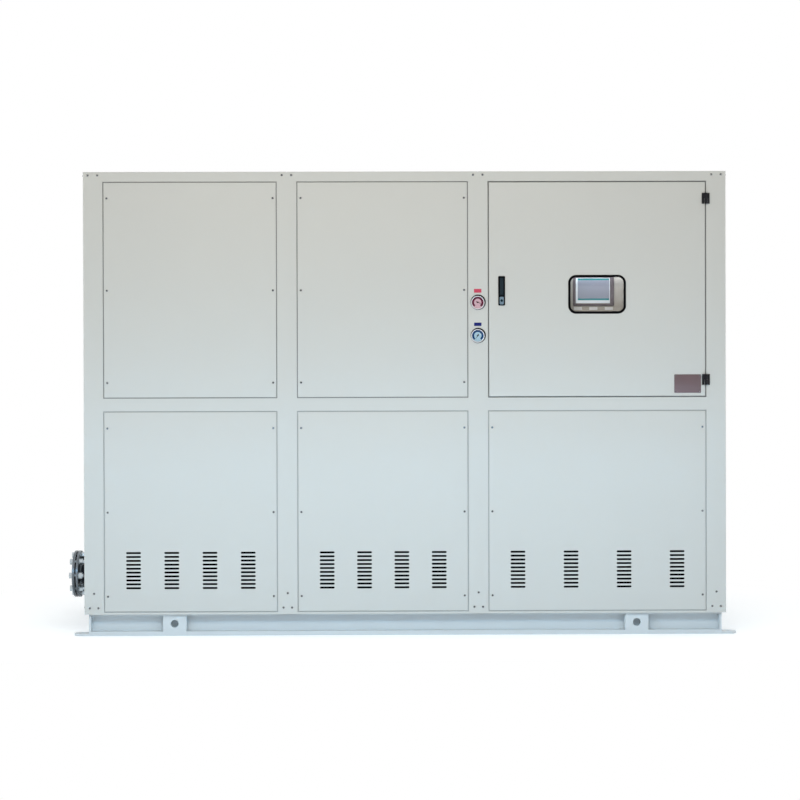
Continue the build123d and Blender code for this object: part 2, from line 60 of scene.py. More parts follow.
nodes = frame["nodes"]
print("frame loaded,", len(nodes), "CAD nodes")

# Lengths are millimetres unless a line says otherwise
millimetre = 0.001


def wallMatrix(corner, along, outward):
    # takes millimetres on a wall to the frame: X along the wall, Y up, Z out of the cabinet
    turn = Matrix((along, (0, 0, 1), outward)).transposed().to_4x4()
    return Matrix.Scale(millimetre, 4) @ Matrix.Translation(corner) @ turn


leftX, frontY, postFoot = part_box("front_left_corner_post")[0] / millimetre
rightX, rearY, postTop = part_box("rear_right_corner_post")[1] / millimetre
cabinetWidth, cabinetDepth = rightX - leftX, rearY - frontY
walls = {
    "front": wallMatrix((leftX, frontY, 0), (1, 0, 0), (0, -1, 0)),
    "right": wallMatrix((rightX, frontY, 0), (0, 1, 0), (1, 0, 0)),
    "rear": wallMatrix((rightX, rearY, 0), (-1, 0, 0), (0, 1, 0)),
    "left": wallMatrix((leftX, rearY, 0), (0, -1, 0), (-1, 0, 0)),
}


def onWall(node, wall):
    # the node's box on a wall: left, foot, right, top, back and face
    toWall = walls[wall].inverted()
    a, b = (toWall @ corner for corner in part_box(node))
    (left, right), (foot, top), (back, face) = (sorted(pair) for pair in zip(a, b))
    return left, foot, right, top, back, face


nodeRow = {"pitch": 200, "height": -400, "end": 3000}


def feed(tree, sockets, inputs):
    # each input is a plain value, or the output that is linked to the socket
    for key, value in inputs.items():
        if isinstance(value, bpy.types.NodeSocket):
            tree.links.new(value, sockets[key])
        else:
            sockets[key].default_value = value


def addNode(tree, kind, inputs=None, **settings):
    # adds a node to the row of nodes and gives its outputs
    node = tree.nodes.new("ShaderNode" + kind)
    node.location = nodeRow["pitch"] * len(tree.nodes), nodeRow["height"]
    for key, value in settings.items():
        setattr(node, key, value)
    feed(tree, node.inputs, inputs or {})
    return node.outputs


def calculate(tree, operation, first, second, clamp=False):
    return addNode(tree, "Math", {0: first, 1: second}, operation=operation, use_clamp=clamp)["Value"]


def mapRange(tree, value, low, high=1.0, toLow=0.0, toHigh=1.0, kind="LINEAR"):
    return addNode(tree, "MapRange", {"Value": value, "From Min": low, "From Max": high, "To Min": toLow,
                                      "To Max": toHigh}, interpolation_type=kind)["Result"]


def mixColor(tree, share, under, over):
    # 6, 7 and 2 are the mix node's colour sockets
    return addNode(tree, "Mix", {"Factor": share, 6: under, 7: over}, data_type="RGBA")[2]


def objectNoise(tree, scale, detail=3.0):
    # noise in the object's own coordinates, so its size is in metres
    spot = addNode(tree, "TexCoord")["Object"]
    return addNode(tree, "TexNoise", {"Vector": spot, "Scale": scale, "Detail": detail})["Fac"]


socketKinds = {1: "NodeSocketFloat", 3: "NodeSocketVector", 4: "NodeSocketColor"}


def newGroup(name, inputs, outputs):
    # inputs come with their starting values, outputs with their number of channels
    group = bpy.data.node_groups.new(name, "ShaderNodeTree")
    for label, value in inputs.items():
        kind = socketKinds[len(value) if isinstance(value, tuple) else 1]
        group.interface.new_socket(name=label, in_out="INPUT", socket_type=kind).default_value = value
    for label, channels in outputs.items():
        group.interface.new_socket(name=label, in_out="OUTPUT", socket_type=socketKinds[channels])
    source, result = group.nodes.new("NodeGroupInput"), group.nodes.new("NodeGroupOutput")
    result.location.x = nodeRow["end"]
    return group, source.outputs, result.inputs


def makeOrangePeel():
    group, source, result = newGroup(
        "orangePeel", {"Peel Scale": 450.0, "Grit Scale": 2600.0, "Grit Share": 0.2}, {"Height": 1})
    peel = objectNoise(group, source["Peel Scale"], 1.5)
    grit = objectNoise(group, source["Grit Scale"], 2.0)
    blend = addNode(group, "Mix", {"Factor": source["Grit Share"], "A": peel, "B": grit})
    feed(group, result, {"Height": blend["Result"]})
    return group


# tone that differs at random over a surface; on the plate steel its pinkish patches are a painted reflection
def makeSheetToneAndReflection():
    group, source, result = newGroup(
        "sheetTone", {"Color": (0.6, 0.6, 0.6, 1), "Shade": (0.5, 0.5, 0.5, 1), "Cloud Scale": 1.6,
                      "Rough Low": 0.3, "Rough High": 0.45}, {"Color": 4, "Roughness": 1})
    cloud = objectNoise(group, source["Cloud Scale"], 4.0)
    wipe = objectNoise(group, 14.0, 5.0)
    tone = mixColor(group, cloud, source["Color"], source["Shade"])
    rough = mapRange(group, wipe, 0.3, 0.7, source["Rough Low"], source["Rough High"])
    feed(group, result, {"Color": tone, "Roughness": rough})
    return group


# the edge mask: real wear on most finishes, and a painted highlight along the rims of the flange steel
def makeEdgeWearAndHighlight():
    group, source, result = newGroup(
        "edgeWear", {"Radius": 0.002, "Amount": 1.0, "Break Up": 90.0}, {"Mask": 1})
    soft = addNode(group, "Bevel", {"Radius": source["Radius"]}, samples=6)
    flat = addNode(group, "NewGeometry")
    match = addNode(group, "VectorMath", {0: soft["Normal"], 1: flat["Normal"]}, operation="DOT_PRODUCT")
    edge = mapRange(group, match["Value"], 0.995, 0.80)
    patchy = objectNoise(group, source["Break Up"])
    wornAndHighlit = calculate(group, "MULTIPLY", edge, patchy)
    feed(group, result, {"Mask": calculate(group, "MULTIPLY", wornAndHighlit, source["Amount"], True)})
    return group


def makeSettledDust():
    group, source, result = newGroup("settledDust", {"Amount": 0.4, "Speckle Scale": 60.0}, {"Mask": 1})
    surface = addNode(group, "NewGeometry")
    split = addNode(group, "SeparateXYZ", {"Vector": surface["Normal"]})
    upward = mapRange(group, split["Z"], 0.3)
    speckle = objectNoise(group, source["Speckle Scale"], 6.0)
    patch = calculate(group, "MULTIPLY", upward, speckle)
    feed(group, result, {"Mask": calculate(group, "MULTIPLY", patch, source["Amount"], True)})
    return group


# streaks of tool marks; on the flange steel they are wide bright and dark rings of painted reflection
def makeToolMarksAndSheen():
    group, source, result = newGroup("toolMarks", {"Line Scale": 900.0, "Stretch": (0.02, 1, 1)},
                                     {"Height": 1, "Streak": 1})
    spot = addNode(group, "TexCoord")
    squeeze = addNode(group, "VectorMath", {0: spot["Object"], 1: source["Stretch"]}, operation="MULTIPLY")
    lines = addNode(group, "TexNoise", {"Vector": squeeze["Vector"], "Scale": source["Line Scale"],
                                        "Detail": 4.0})
    streak = mapRange(group, lines["Fac"], 0.3, 0.7)
    feed(group, result, {"Height": lines["Fac"], "Streak": streak})
    return group


orangePeel = makeOrangePeel()
sheetTone = makeSheetToneAndReflection()
edgeWear = makeEdgeWearAndHighlight()
settledDust = makeSettledDust()
toolMarks = makeToolMarksAndSheen()
print("five shader groups made")


def startMaterial(name):
    material = bpy.data.materials.new(name)
    material.use_nodes = True
    return material, material.node_tree, material.node_tree.nodes["Principled BSDF"]


def addBump(tree, shader, strength, depth, height):
    bump = addNode(tree, "Bump", {"Strength": strength, "Distance": depth, "Height": height})
    feed(tree, shader.inputs, {"Normal": bump["Normal"]})


def solidFinish(name, color, shade, rough, depth, strength, wear, wearColor, wearRadius, dust, dustColor,
                cloud, specular, metallic, peel=None, lineScale=None, stretch=None):
    # paint, rubber and plastic have a peel; metal has tool marks instead, which on the flange steel are wide
    # bright and dark rings of painted reflection, and there the edge mask gives a painted highlight on the rims
    material, tree, shader = startMaterial(name)
    tone = addNode(tree, "Group", {"Color": (*color, 1), "Shade": (*shade, 1), "Cloud Scale": cloud,
                                   "Rough Low": rough[0], "Rough High": rough[1]}, node_tree=sheetTone)
    edges = addNode(tree, "Group", {"Radius": wearRadius, "Amount": wear}, node_tree=edgeWear)
    dusty = addNode(tree, "Group", {"Amount": dust}, node_tree=settledDust)
    base = tone["Color"]
    if peel:
        grain = addNode(tree, "Group", {"Peel Scale": peel, "Grit Scale": peel * 6}, node_tree=orangePeel)
    else:
        grain = addNode(tree, "Group", {"Line Scale": lineScale, "Stretch": stretch}, node_tree=toolMarks)
        base = mixColor(tree, grain["Streak"], base, (*shade, 1))
    wornAndHighlit = mixColor(tree, edges["Mask"], base, (*wearColor, 1))
    topped = mixColor(tree, dusty["Mask"], wornAndHighlit, (*dustColor, 1))
    feed(tree, shader.inputs, {"Base Color": topped, "Roughness": tone["Roughness"],
                               "Metallic": metallic, "Specular IOR Level": specular})
    addBump(tree, shader, strength, depth, grain["Height"])
    return material


def glassFinish(name, tint):
    # clear pane, whose light and shadow rays pass straight through
    material, tree, shader = startMaterial(name)
    feed(tree, shader.inputs, {"Base Color": (*tint, 1), "Roughness": 0.0, "Transmission Weight": 1.0,
                               "IOR": 1.2})
    addBump(tree, shader, 0.05, 0.0002, objectNoise(tree, 8.0, 4.0))
    path = addNode(tree, "LightPath")
    clear = addNode(tree, "BsdfTransparent")
    either = calculate(tree, "MAXIMUM", path["Is Shadow Ray"], path["Is Diffuse Ray"])
    blend = addNode(tree, "MixShader", {"Fac": either, 1: shader.outputs["BSDF"], 2: clear["BSDF"]})
    feed(tree, tree.nodes["Material Output"].inputs, {"Surface": blend["Shader"]})
    return material


# Lengths in the finishes are metres; a scale is the number of grains in a metre
paint = dict(rough=(0.32, 0.46), peel=450.0, depth=0.00012, strength=0.25, wear=0.25,
             wearColor=(0.72, 0.73, 0.73), wearRadius=0.0015, dust=0.25, dustColor=(0.52, 0.50, 0.46),
             cloud=1.6, specular=0.5, metallic=0.0)
black = dict(paint, dust=0.03, dustColor=(0.1, 0.1, 0.1), cloud=40.0)
moulded = dict(paint, peel=1600.0, cloud=30.0)
label = dict(paint, peel=2200.0, depth=0.00003, wear=0.1, dust=0.02, cloud=60.0)
printed = dict(paint, rough=(0.4, 0.55), peel=2500.0, depth=0.00002, wear=0.0, dust=0.0, cloud=80.0,
               specular=0.1)
strip = dict(paint, rough=(0.5, 0.65), peel=900.0, wear=0.0, dust=0.1, cloud=20.0, specular=0.2)
display = dict(paint, peel=60.0, depth=0.00001, wear=0.0, dust=0.0)
metal = dict(rough=(0.2, 0.35), lineScale=900.0, stretch=(1, 1, 1), depth=0.00005, strength=0.3, wear=0.3,
             wearColor=(0.8, 0.8, 0.8), wearRadius=0.0008, dust=0.1, dustColor=(0.4, 0.38, 0.34), cloud=9.0,
             specular=0.5, metallic=1.0)
finishValues = {
    "cabinetPaint": dict(paint, color=(0.625, 0.645, 0.630), shade=(0.600, 0.622, 0.612)),
    "basePaint": dict(paint, color=(0.665, 0.725, 0.760), shade=(0.635, 0.695, 0.730), rough=(0.4, 0.55),
                      peel=380.0, depth=0.0002, wear=0.4, dust=0.3, cloud=3.0),
    "innerPaint": dict(paint, color=(0.50, 0.485, 0.465), shade=(0.46, 0.445, 0.425), rough=(0.4, 0.55),
                       dust=0.1),
    "blackRubber": dict(black, color=(0.0015, 0.0015, 0.002), shade=(0.003, 0.003, 0.004), rough=(0.6, 0.8),
                        peel=1500.0, wear=0.1, wearColor=(0.03, 0.03, 0.03), cloud=30.0, specular=0.04),
    "hingeBlack": dict(black, color=(0.004, 0.004, 0.006), shade=(0.009, 0.009, 0.013), rough=(0.3, 0.42),
                       peel=1300.0, wear=0.3, wearColor=(0.06, 0.06, 0.075), dust=0.04,
                       dustColor=(0.2, 0.2, 0.2), specular=0.2),
    "latchBlack": dict(black, color=(0.0012, 0.0012, 0.0025), shade=(0.0025, 0.0025, 0.0045), rough=(0.5, 0.7),
                       peel=1800.0, wear=0.2, wearColor=(0.04, 0.04, 0.045), specular=0.03),
    "leverGrey": dict(black, color=(0.014, 0.024, 0.032), shade=(0.020, 0.032, 0.042), rough=(0.35, 0.5),
                      peel=1500.0, wear=0.5, wearColor=(0.12, 0.15, 0.17), wearRadius=0.0006,
                      dustColor=(0.2, 0.2, 0.2), specular=0.1),
    "screenPlastic": dict(moulded, color=(0.115, 0.098, 0.115), shade=(0.15, 0.13, 0.15), rough=(0.4, 0.55),
                          wear=0.2, wearColor=(0.3, 0.29, 0.3), dust=0.02, specular=0.3),
    "screenBorder": dict(moulded, color=(0.80, 0.86, 0.93), shade=(0.74, 0.81, 0.89), rough=(0.3, 0.42),
                         wear=0.1, dust=0.03),
    "labelWhite": dict(label, color=(0.86, 0.88, 0.92), shade=(0.80, 0.83, 0.88), rough=(0.35, 0.5), dust=0.03),
    "labelRed": dict(label, color=(0.66, 0.09, 0.15), shade=(0.50, 0.05, 0.10), rough=(0.4, 0.5), specular=0.2),
    "labelBlue": dict(label, color=(0.018, 0.028, 0.20), shade=(0.01, 0.015, 0.11), rough=(0.4, 0.5),
                      specular=0.15),
    "dialPink": dict(printed, color=(0.60, 0.38, 0.45), shade=(0.66, 0.46, 0.52)),
    "dialPale": dict(printed, color=(0.36, 0.54, 0.66), shade=(0.42, 0.60, 0.72)),
    "dialRed": dict(printed, color=(0.085, 0.001, 0.022), shade=(0.12, 0.002, 0.035)),
    "dialBlue": dict(printed, color=(0.001, 0.035, 0.12), shade=(0.002, 0.05, 0.17)),
    "dialBlack": dict(printed, color=(0.004, 0.004, 0.005), shade=(0.008, 0.008, 0.01), rough=(0.4, 0.5)),
    "gasket": dict(paint, color=(0.012, 0.012, 0.013), shade=(0.02, 0.02, 0.022), rough=(0.6, 0.75), peel=900.0,
                   wear=0.1, wearColor=(0.06, 0.06, 0.06), dust=0.1, cloud=30.0, specular=0.15),
    # the gap strips' grey is painted shade of the seams; the paler grey is a lighter painted shade for the
    # lower seams
    "gapStrip": dict(strip, color=(0.30, 0.31, 0.31), shade=(0.25, 0.26, 0.265)),
    "gapStripPale": dict(strip, color=(0.44, 0.46, 0.465), shade=(0.38, 0.40, 0.41)),
    # black sheet behind the louvre slots: painted shade
    "darkLining": dict(strip, color=(0.004, 0.004, 0.006), shade=(0.008, 0.008, 0.010), rough=(0.8, 0.95),
                       peel=700.0, depth=0.0006, dust=0.0, specular=0.03),
    "displayGlass": dict(display, color=(0.24, 0.29, 0.37), shade=(0.33, 0.33, 0.42), rough=(0.06, 0.12),
                         cloud=12.0, specular=0.3),
    "displayBand": dict(display, color=(0.02, 0.27, 0.30), shade=(0.015, 0.20, 0.23), rough=(0.08, 0.15),
                        cloud=20.0, specular=0.2),
    "gaugeChrome": dict(metal, color=(0.74, 0.74, 0.76), shade=(0.62, 0.62, 0.65), rough=(0.06, 0.14),
                        lineScale=500.0, depth=0.00001),
    # the flange steel's wide bright and dark rings are painted reflection, and its strong pale edge mask is a
    # painted highlight on the rims
    "flangeSteel": dict(metal, color=(0.42, 0.47, 0.52), shade=(0.05, 0.06, 0.07), lineScale=200.0,
                        stretch=(1, 0.04, 0.04), wearColor=(0.75, 0.78, 0.82), wear=1.4),
    "pipeSteel": dict(metal, color=(0.016, 0.02, 0.035), shade=(0.008, 0.01, 0.02), rough=(0.4, 0.55),
                      lineScale=300.0, stretch=(0.1, 1, 1), wearColor=(0.2, 0.22, 0.26), wear=0.5,
                      metallic=0.6),
    "boltZinc": dict(metal, color=(0.72, 0.77, 0.80), shade=(0.42, 0.47, 0.50), rough=(0.2, 0.32),
                     lineScale=300.0, wear=0.8, wearColor=(0.85, 0.88, 0.9)),
    "screwSteel": dict(metal, color=(0.36, 0.37, 0.38), shade=(0.20, 0.21, 0.22), rough=(0.2, 0.3),
                       lineScale=2500.0, wearColor=(0.5, 0.5, 0.5)),
    # the plate steel's pinkish patches are a painted reflection
    "plateSteel": dict(metal, color=(0.125, 0.115, 0.112), shade=(0.185, 0.125, 0.132), rough=(0.4, 0.5),
                       lineScale=1400.0, stretch=(0.01, 1, 1), dust=0.02, wear=0.5, cloud=13.0,
                       wearColor=(0.35, 0.35, 0.35)),
    "buttonMetal": dict(metal, color=(0.27, 0.37, 0.44), shade=(0.16, 0.24, 0.31), rough=(0.2, 0.32),
                        lineScale=1800.0, stretch=(1, 1, 0.03), dust=0.02, cloud=60.0),
    "lockSteel": dict(metal, color=(0.02, 0.05, 0.065), shade=(0.01, 0.03, 0.04), rough=(0.25, 0.35),
                      lineScale=2600.0, dust=0.02, wearColor=(0.3, 0.35, 0.38)),
}
finishes = {name: solidFinish(name, **values) for name, values in finishValues.items()}
for name, tint in (("windowGlass", (0.985, 0.995, 0.99)), ("dialGlass", (0.99, 0.99, 0.99))):
    finishes[name] = glassFinish(name, tint)
print("materials made:", len(finishes))

for subpart in frame["record"]["subparts"]:
    # the slot base_paint has the finish basePaint, and so on
    first, *others = subpart["material_slot"].split("_")
    finish = finishes[first + "".join(word.title() for word in others)]
    piece = nodes[subpart["node"]]
    if not piece.material_slots:
        piece.data.materials.append(finish)
    for materialSlot in piece.material_slots:
        materialSlot.material = finish
print("CAD nodes painted")


def roundedRect(width, height, radius, centre=(0, 0), steps=6):
    x, y = centre
    points = []
    for turn, (sx, sy) in enumerate(((1, 1), (-1, 1), (-1, -1), (1, -1))):
        for step in range(steps + 1):
            angle = radians(90) * (turn + step / steps)
            points.append((x + sx * (width / 2 - radius) + radius * cos(angle),
                           y + sy * (height / 2 - radius) + radius * sin(angle)))
    return points


def middleOf(box):
    return (box[0] + box[2]) / 2, (box[1] + box[3]) / 2


def roundedBox(box, radius, steps):
    return roundedRect(box[2] - box[0], box[3] - box[1], radius, middleOf(box), steps)


def rectangle(left, foot, right, top, *_):
    return [(right, top), (left, top), (left, foot), (right, foot)]


def grown(box, reach):
    return box[0] - reach, box[1] - reach, box[2] + reach, box[3] + reach


def boxRound(centre, width, height):
    return centre[0] - width / 2, centre[1] - height / 2, centre[0] + width / 2, centre[1] + height / 2


def circle(radius, centre=(0, 0), steps=32):
    return [(centre[0] + radius * cos(2 * pi * i / steps),
             centre[1] + radius * sin(2 * pi * i / steps)) for i in range(steps)]


def arc(centre, radius, start, end, steps):
    # start and end in degrees
    angles = [radians(start + (end - start) * i / steps) for i in range(steps + 1)]
    return [(centre[0] + radius * cos(angle), centre[1] + radius * sin(angle)) for angle in angles]


def addLoop(bm, points, height=0.0):
    verts = [bm.verts.new((x, y, height)) for x, y in points]
    return [bm.edges.new(pair) for pair in zip(verts, verts[1:] + verts[:1])]


def fillLoops(bm, loops):
    edges = [edge for loop in loops for edge in loop]
    return bmesh.ops.triangle_fill(bm, edges=edges, use_beauty=True, use_dissolve=False, normal=(0, 0, 1))


def pushLoop(bm, loop, depth, middle=None, halves=None):
    # pulls a wall from a loop of edges to a new depth and gives the new loop
    made = bmesh.ops.extrude_edge_only(bm, edges=loop)["geom"]
    verts = [g for g in made if isinstance(g, bmesh.types.BMVert)]
    for vert in verts:
        vert.co.z = depth
        if halves:
            vert.co.x, vert.co.y = (m + copysign(half, here - m)
                                    for m, half, here in zip(middle, halves, vert.co.xy))
    return [g for g in made if isinstance(g, bmesh.types.BMEdge) and all(v in verts for v in g.verts)]


def closeLoop(bm, loop):
    bmesh.ops.contextual_create(bm, geom=loop)


creases = {"bevelFrom": 50, "shadeFrom": 32, "bevelProfile": 0.6, "mergeWithin": 0.001}


def takeMesh(bm, name):
    mesh = bpy.data.meshes.new(name)
    bm.to_mesh(mesh)
    bm.free()
    return mesh


def addMesh(name, mesh, body, slotName, *finishNames):
    mesh.shade_smooth()
    mesh.set_sharp_from_angle(angle=radians(creases["shadeFrom"]))
    for finishName in finishNames:
        mesh.materials.append(finishes[finishName])
    piece = bpy.data.objects.new(name, mesh)
    bpy.context.scene.collection.objects.link(piece)
    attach(piece, body)
    return piece


def addPiece(name, bm, matrix, body, slotName, *finishNames):
    bmesh.ops.remove_doubles(bm, verts=bm.verts, dist=creases["mergeWithin"])
    bmesh.ops.recalc_face_normals(bm, faces=bm.faces)
    bm.transform(matrix)
    return addMesh(name, takeMesh(bm, name), body, slotName, *finishNames)


def bevelRims(bm, width, steps=2):
    sharp = radians(creases["bevelFrom"])
    rims = [e for e in bm.edges if len(e.link_faces) == 2 and e.calc_face_angle(0) > sharp]
    bmesh.ops.bevel(bm, geom=rims, offset=width, segments=steps, affect="EDGES",
                    profile=creases["bevelProfile"], clamp_overlap=True)


def mergeIn(bm, part, matrix=None):
    # adds a small mesh to a bigger one and gives the new faces
    mesh = takeMesh(part, "scrap")
    if matrix:
        mesh.transform(matrix)
    before = len(bm.faces)
    bm.from_mesh(mesh)
    bpy.data.meshes.remove(mesh)
    bm.faces.ensure_lookup_table()
    return bm.faces[before:]


def plate(bm, outlines, low, high, bevel=0.0, steps=2):
    # a flat plate between two heights; the first outline is its edge and the others its holes
    part = bmesh.new()
    fillLoops(part, [addLoop(part, outline, low) for outline in outlines])
    made = bmesh.ops.extrude_face_region(part, geom=list(part.faces))["geom"]
    for vert in (g for g in made if isinstance(g, bmesh.types.BMVert)):
        vert.co.z = high
    bmesh.ops.recalc_face_normals(part, faces=part.faces)
    if bevel:
        bevelRims(part, bevel, steps)
    return mergeIn(bm, part)


def skin(bm, rings, closed):
    faces = []
    for lower, upper in zip(rings, rings[1:] + rings[:1] if closed else rings[1:]):
        count = max(len(lower), len(upper))
        for i in range(count):
            corners = [lower[i % len(lower)], lower[(i + 1) % len(lower)],
                       upper[(i + 1) % len(upper)], upper[i % len(upper)]]
            corners = list(dict.fromkeys(corners))
            if len(corners) > 2:
                faces.append(bm.faces.new(corners))
    return faces


def turned(bm, profile, steps=48, centre=(0, 0), closed=False):
    # a body of revolution about Z from points of radius and height
    rings = []
    for radius, height in profile:
        points = circle(radius, centre, steps) if radius else [centre]
        rings.append([bm.verts.new((x, y, height)) for x, y in points])
    return skin(bm, rings, closed)


def setFinish(faces, index):
    for face in faces:
        face.material_index = index


sheet = {"thickness": 2.0, "bendRadius": 2.0, "bendSteps": 4}


def foldedSheet(name, node, wall, body, holes=()):
    left, foot, right, top, back, face = box = onWall(node, wall)
    bend = sheet["bendRadius"]
    bm = bmesh.new()
    rim = addLoop(bm, rectangle(*grown(box, -bend)), face)
    fillLoops(bm, [rim, *[addLoop(bm, outline, face) for outline in holes]])
    for step in range(1, sheet["bendSteps"] + 1):
        angle = radians(90) * step / sheet["bendSteps"]
        out = bend * (1 - sin(angle))
        halves = (right - left) / 2 - out, (top - foot) / 2 - out
        rim = pushLoop(bm, rim, face - bend * (1 - cos(angle)), middleOf(box), halves)
    pushLoop(bm, rim, back)
    bmesh.ops.recalc_face_normals(bm, faces=bm.faces)
    if sum(f.normal.z * f.calc_area() for f in bm.faces) < 0:
        bmesh.ops.reverse_faces(bm, faces=bm.faces)
    bmesh.ops.remove_doubles(bm, verts=bm.verts, dist=creases["mergeWithin"])
    holder = bpy.data.objects.new(name, takeMesh(bm, name))
    bpy.context.scene.collection.objects.link(holder)
    thick = holder.modifiers.new("sheet", "SOLIDIFY")
    thick.thickness = sheet["thickness"]
    thick.offset = -1
    thick.use_even_offset = True
    bpy.context.view_layer.update()
    mesh = bpy.data.meshes.new_from_object(holder.evaluated_get(bpy.context.evaluated_depsgraph_get()))
    mesh.name = name
    bpy.data.objects.remove(holder)
    mesh.transform(walls[wall])
    piece = addMesh(name, mesh, body, "cabinet_paint", "cabinetPaint")
    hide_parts(node)
    return piece


louvres = {"length": 61, "height": 8.4, "pitch": 16, "perGroup": 10, "groups": 4, "outerInset": 121.5,
           "middleHeight": 172, "panelGap": 4, "endSteps": 5, "endFlat": 0.05}
# a black sheet just behind each group of slots is painted shade: it stands in for the shaded inside of the
# cabinet
shadeBacking = {"reach": 42, "height": 190, "behind": 9, "thickness": 5, "bevel": 0.8}


def louvreOutlines(node):
    left, foot, right, _ = grown(onWall(node, "front"), louvres["panelGap"])
    spacing = (right - left - 2 * louvres["outerInset"]) / (louvres["groups"] - 1)
    middleRow = (louvres["perGroup"] - 1) / 2
    size = louvres["length"], louvres["height"], louvres["height"] / 2 - louvres["endFlat"]
    outlines = []
    for group in range(louvres["groups"]):
        for row in range(louvres["perGroup"]):
            centre = (left + louvres["outerInset"] + group * spacing,
                      foot + louvres["middleHeight"] + (row - middleRow) * louvres["pitch"])
            outlines.append(roundedRect(*size, centre, louvres["endSteps"]))
    return outlines


def louvredPanel(index):
    node = f"front_lower_panel_{index}"
    outlines = louvreOutlines(node)
    foldedSheet(f"louvredPanel{index}", node, "front", "cabinet", outlines)
    across = [x for outline in outlines for x, y in outline]
    up = [y for outline in outlines for x, y in outline]
    middle, half, reach = (min(up) + max(up)) / 2, shadeBacking["height"] / 2, shadeBacking["reach"]
    # black sheet behind the slots, as painted shade of the cabinet's inside
    bm = bmesh.new()
    plate(bm, [rectangle(min(across) - reach, middle - half, max(across) + reach, middle + half)],
          -shadeBacking["behind"] - shadeBacking["thickness"], -shadeBacking["behind"], shadeBacking["bevel"])
    addPiece(f"louvreShadeBacking{index}", bm, walls["front"], "cabinet", "black_rubber", "darkLining")


for index in (1, 2, 3):
    louvredPanel(index)
for name, node, wall in (("upperPanel1", "front_upper_panel_1", "front"),
                         ("upperPanel2", "front_upper_panel_2", "front"),
                         ("rightUpperPanel", "right_upper_panel", "right"),
                         ("rightLowerPanel", "right_lower_panel", "right"),
                         ("leftUpperPanel", "left_upper_panel", "left")):
    foldedSheet(name, node, wall, "cabinet")

pipe = {"outer": 44.5, "wall": 4, "inside": 150, "height": 215, "setbacks": (430, 850), "hole": 44.8,
        "holeSteps": 64}
pipeOutlines = [circle(pipe["hole"], (cabinetDepth - setback, pipe["height"]), pipe["holeSteps"])
                for setback in pipe["setbacks"]]
foldedSheet("leftLowerPanel", "left_lower_panel", "left", "cabinet", pipeOutlines)

window = {"cut": (227, 149, 28), "cutSteps": 10, "sealInner": (217, 139, 23), "sealSteps": 12}
windowCentre = middleOf(onWall("window_pane", "front"))
latchBox = onWall("latch_housing", "front")
latchBodySize = (23, 114)
latchBody = boxRound(middleOf(latchBox), *latchBodySize)
doorPiece = foldedSheet("doorSheet", "door", "front", "door", [
    roundedRect(*window["cut"], windowCentre, window["cutSteps"]), rectangle(*latchBody)])
gapStrip = {"gap": 4, "sunk": 3.2, "thickness": 1.5, "bevel": 0.2}
doorSeal = {"gap": 5, "play": 1, "stripSunk": 7, "stripThick": 2, "width": 12, "back": -21.9, "clear": 0.3,
            "bevel": 1.2}


def gapStrips(name, wall, panelNodes, finishName="gapStrip"):
    # grey strip in the gap round each screwed panel, whose colour is the seam's painted shade
    bm = bmesh.new()
    high = -gapStrip["sunk"]
    for node in panelNodes:
        box = onWall(node, wall)
        plate(bm, [rectangle(*grown(box, gapStrip["gap"])), rectangle(*box)],
              high - gapStrip["thickness"], high, gapStrip["bevel"], 1)
    addPiece(name, bm, walls[wall], "cabinet", "cabinet_paint", finishName)


gapStrips("upperGapStrips", "front", [f"front_upper_panel_{i}" for i in (1, 2)])
# the lower seams take a paler painted shade
gapStrips("lowerGapStrips", "front", [f"front_lower_panel_{i}" for i in (1, 2, 3)], "gapStripPale")
for side in ("right", "left"):
    gapStrips(f"{side}GapStrips", side, [f"{side}_upper_panel", f"{side}_lower_panel"])


def doorSeals():
    # grey strip in the gap round the door, whose colour is the seam's painted shade, and the soft seal that it
    # shuts on
    box = onWall("door", "front")
    high, play = -doorSeal["stripSunk"], doorSeal["play"]
    bm = bmesh.new()
    plate(bm, [rectangle(*grown(box, doorSeal["gap"])), rectangle(*grown(box, play))],
          high - doorSeal["stripThick"], high, gapStrip["bevel"], 1)
    addPiece("doorGapStrip", bm, walls["front"], "cabinet", "cabinet_paint", "gapStrip")
    bm = bmesh.new()
    plate(bm, [rectangle(*grown(box, -play)), rectangle(*grown(box, -play - doorSeal["width"]))],
          doorSeal["back"], box[4] - doorSeal["clear"], doorSeal["bevel"], 3)
    addPiece("doorSeal", bm, walls["front"], "cabinet", "black_rubber", "blackRubber")


doorSeals()
print("folded panels and door made")


flange = {"radius": 100, "thickness": 11, "bore": 45.5, "faceRadius": 69, "faceHeight": 5, "reach": 109,
          "rim": 1.2, "boltCircle": 80, "bolts": 8, "gasketRadius": 66, "gasketThick": 1.5, "squash": 0.2,
          "neck": ((0, -6), (2.2, -4.5), (5.5, -1.2), (6, 0)), "pipeUpTo": 5.5, "steps": 72}
bolt = {"across": 24, "headHeight": 12.9, "nutHeight": 13, "shank": 8, "chamfer": 1.2, "washer": 15,
        "washerThick": 2.5, "washerEdge": 0.4, "tail": 6, "nutTurn": 7, "hexChamfer": 1.6, "hexDrop": 0.14}


def hexHead(low, high):
    # hexagonal head or nut with its corners chamfered on the outer face
    part = bmesh.new()
    plate(part, [circle(bolt["across"] / sqrt(3), steps=6)], low, high)
    rim = [v for v in part.verts if abs(v.co.z - high) < creases["mergeWithin"]]
    top = [f for f in part.faces if all(v in rim for v in f.verts)]
    bmesh.ops.inset_region(part, faces=top, thickness=bolt["hexChamfer"], depth=0.0)
    for vert in rim:
        vert.co.z = high - (high - low) * bolt["hexDrop"]
    return part


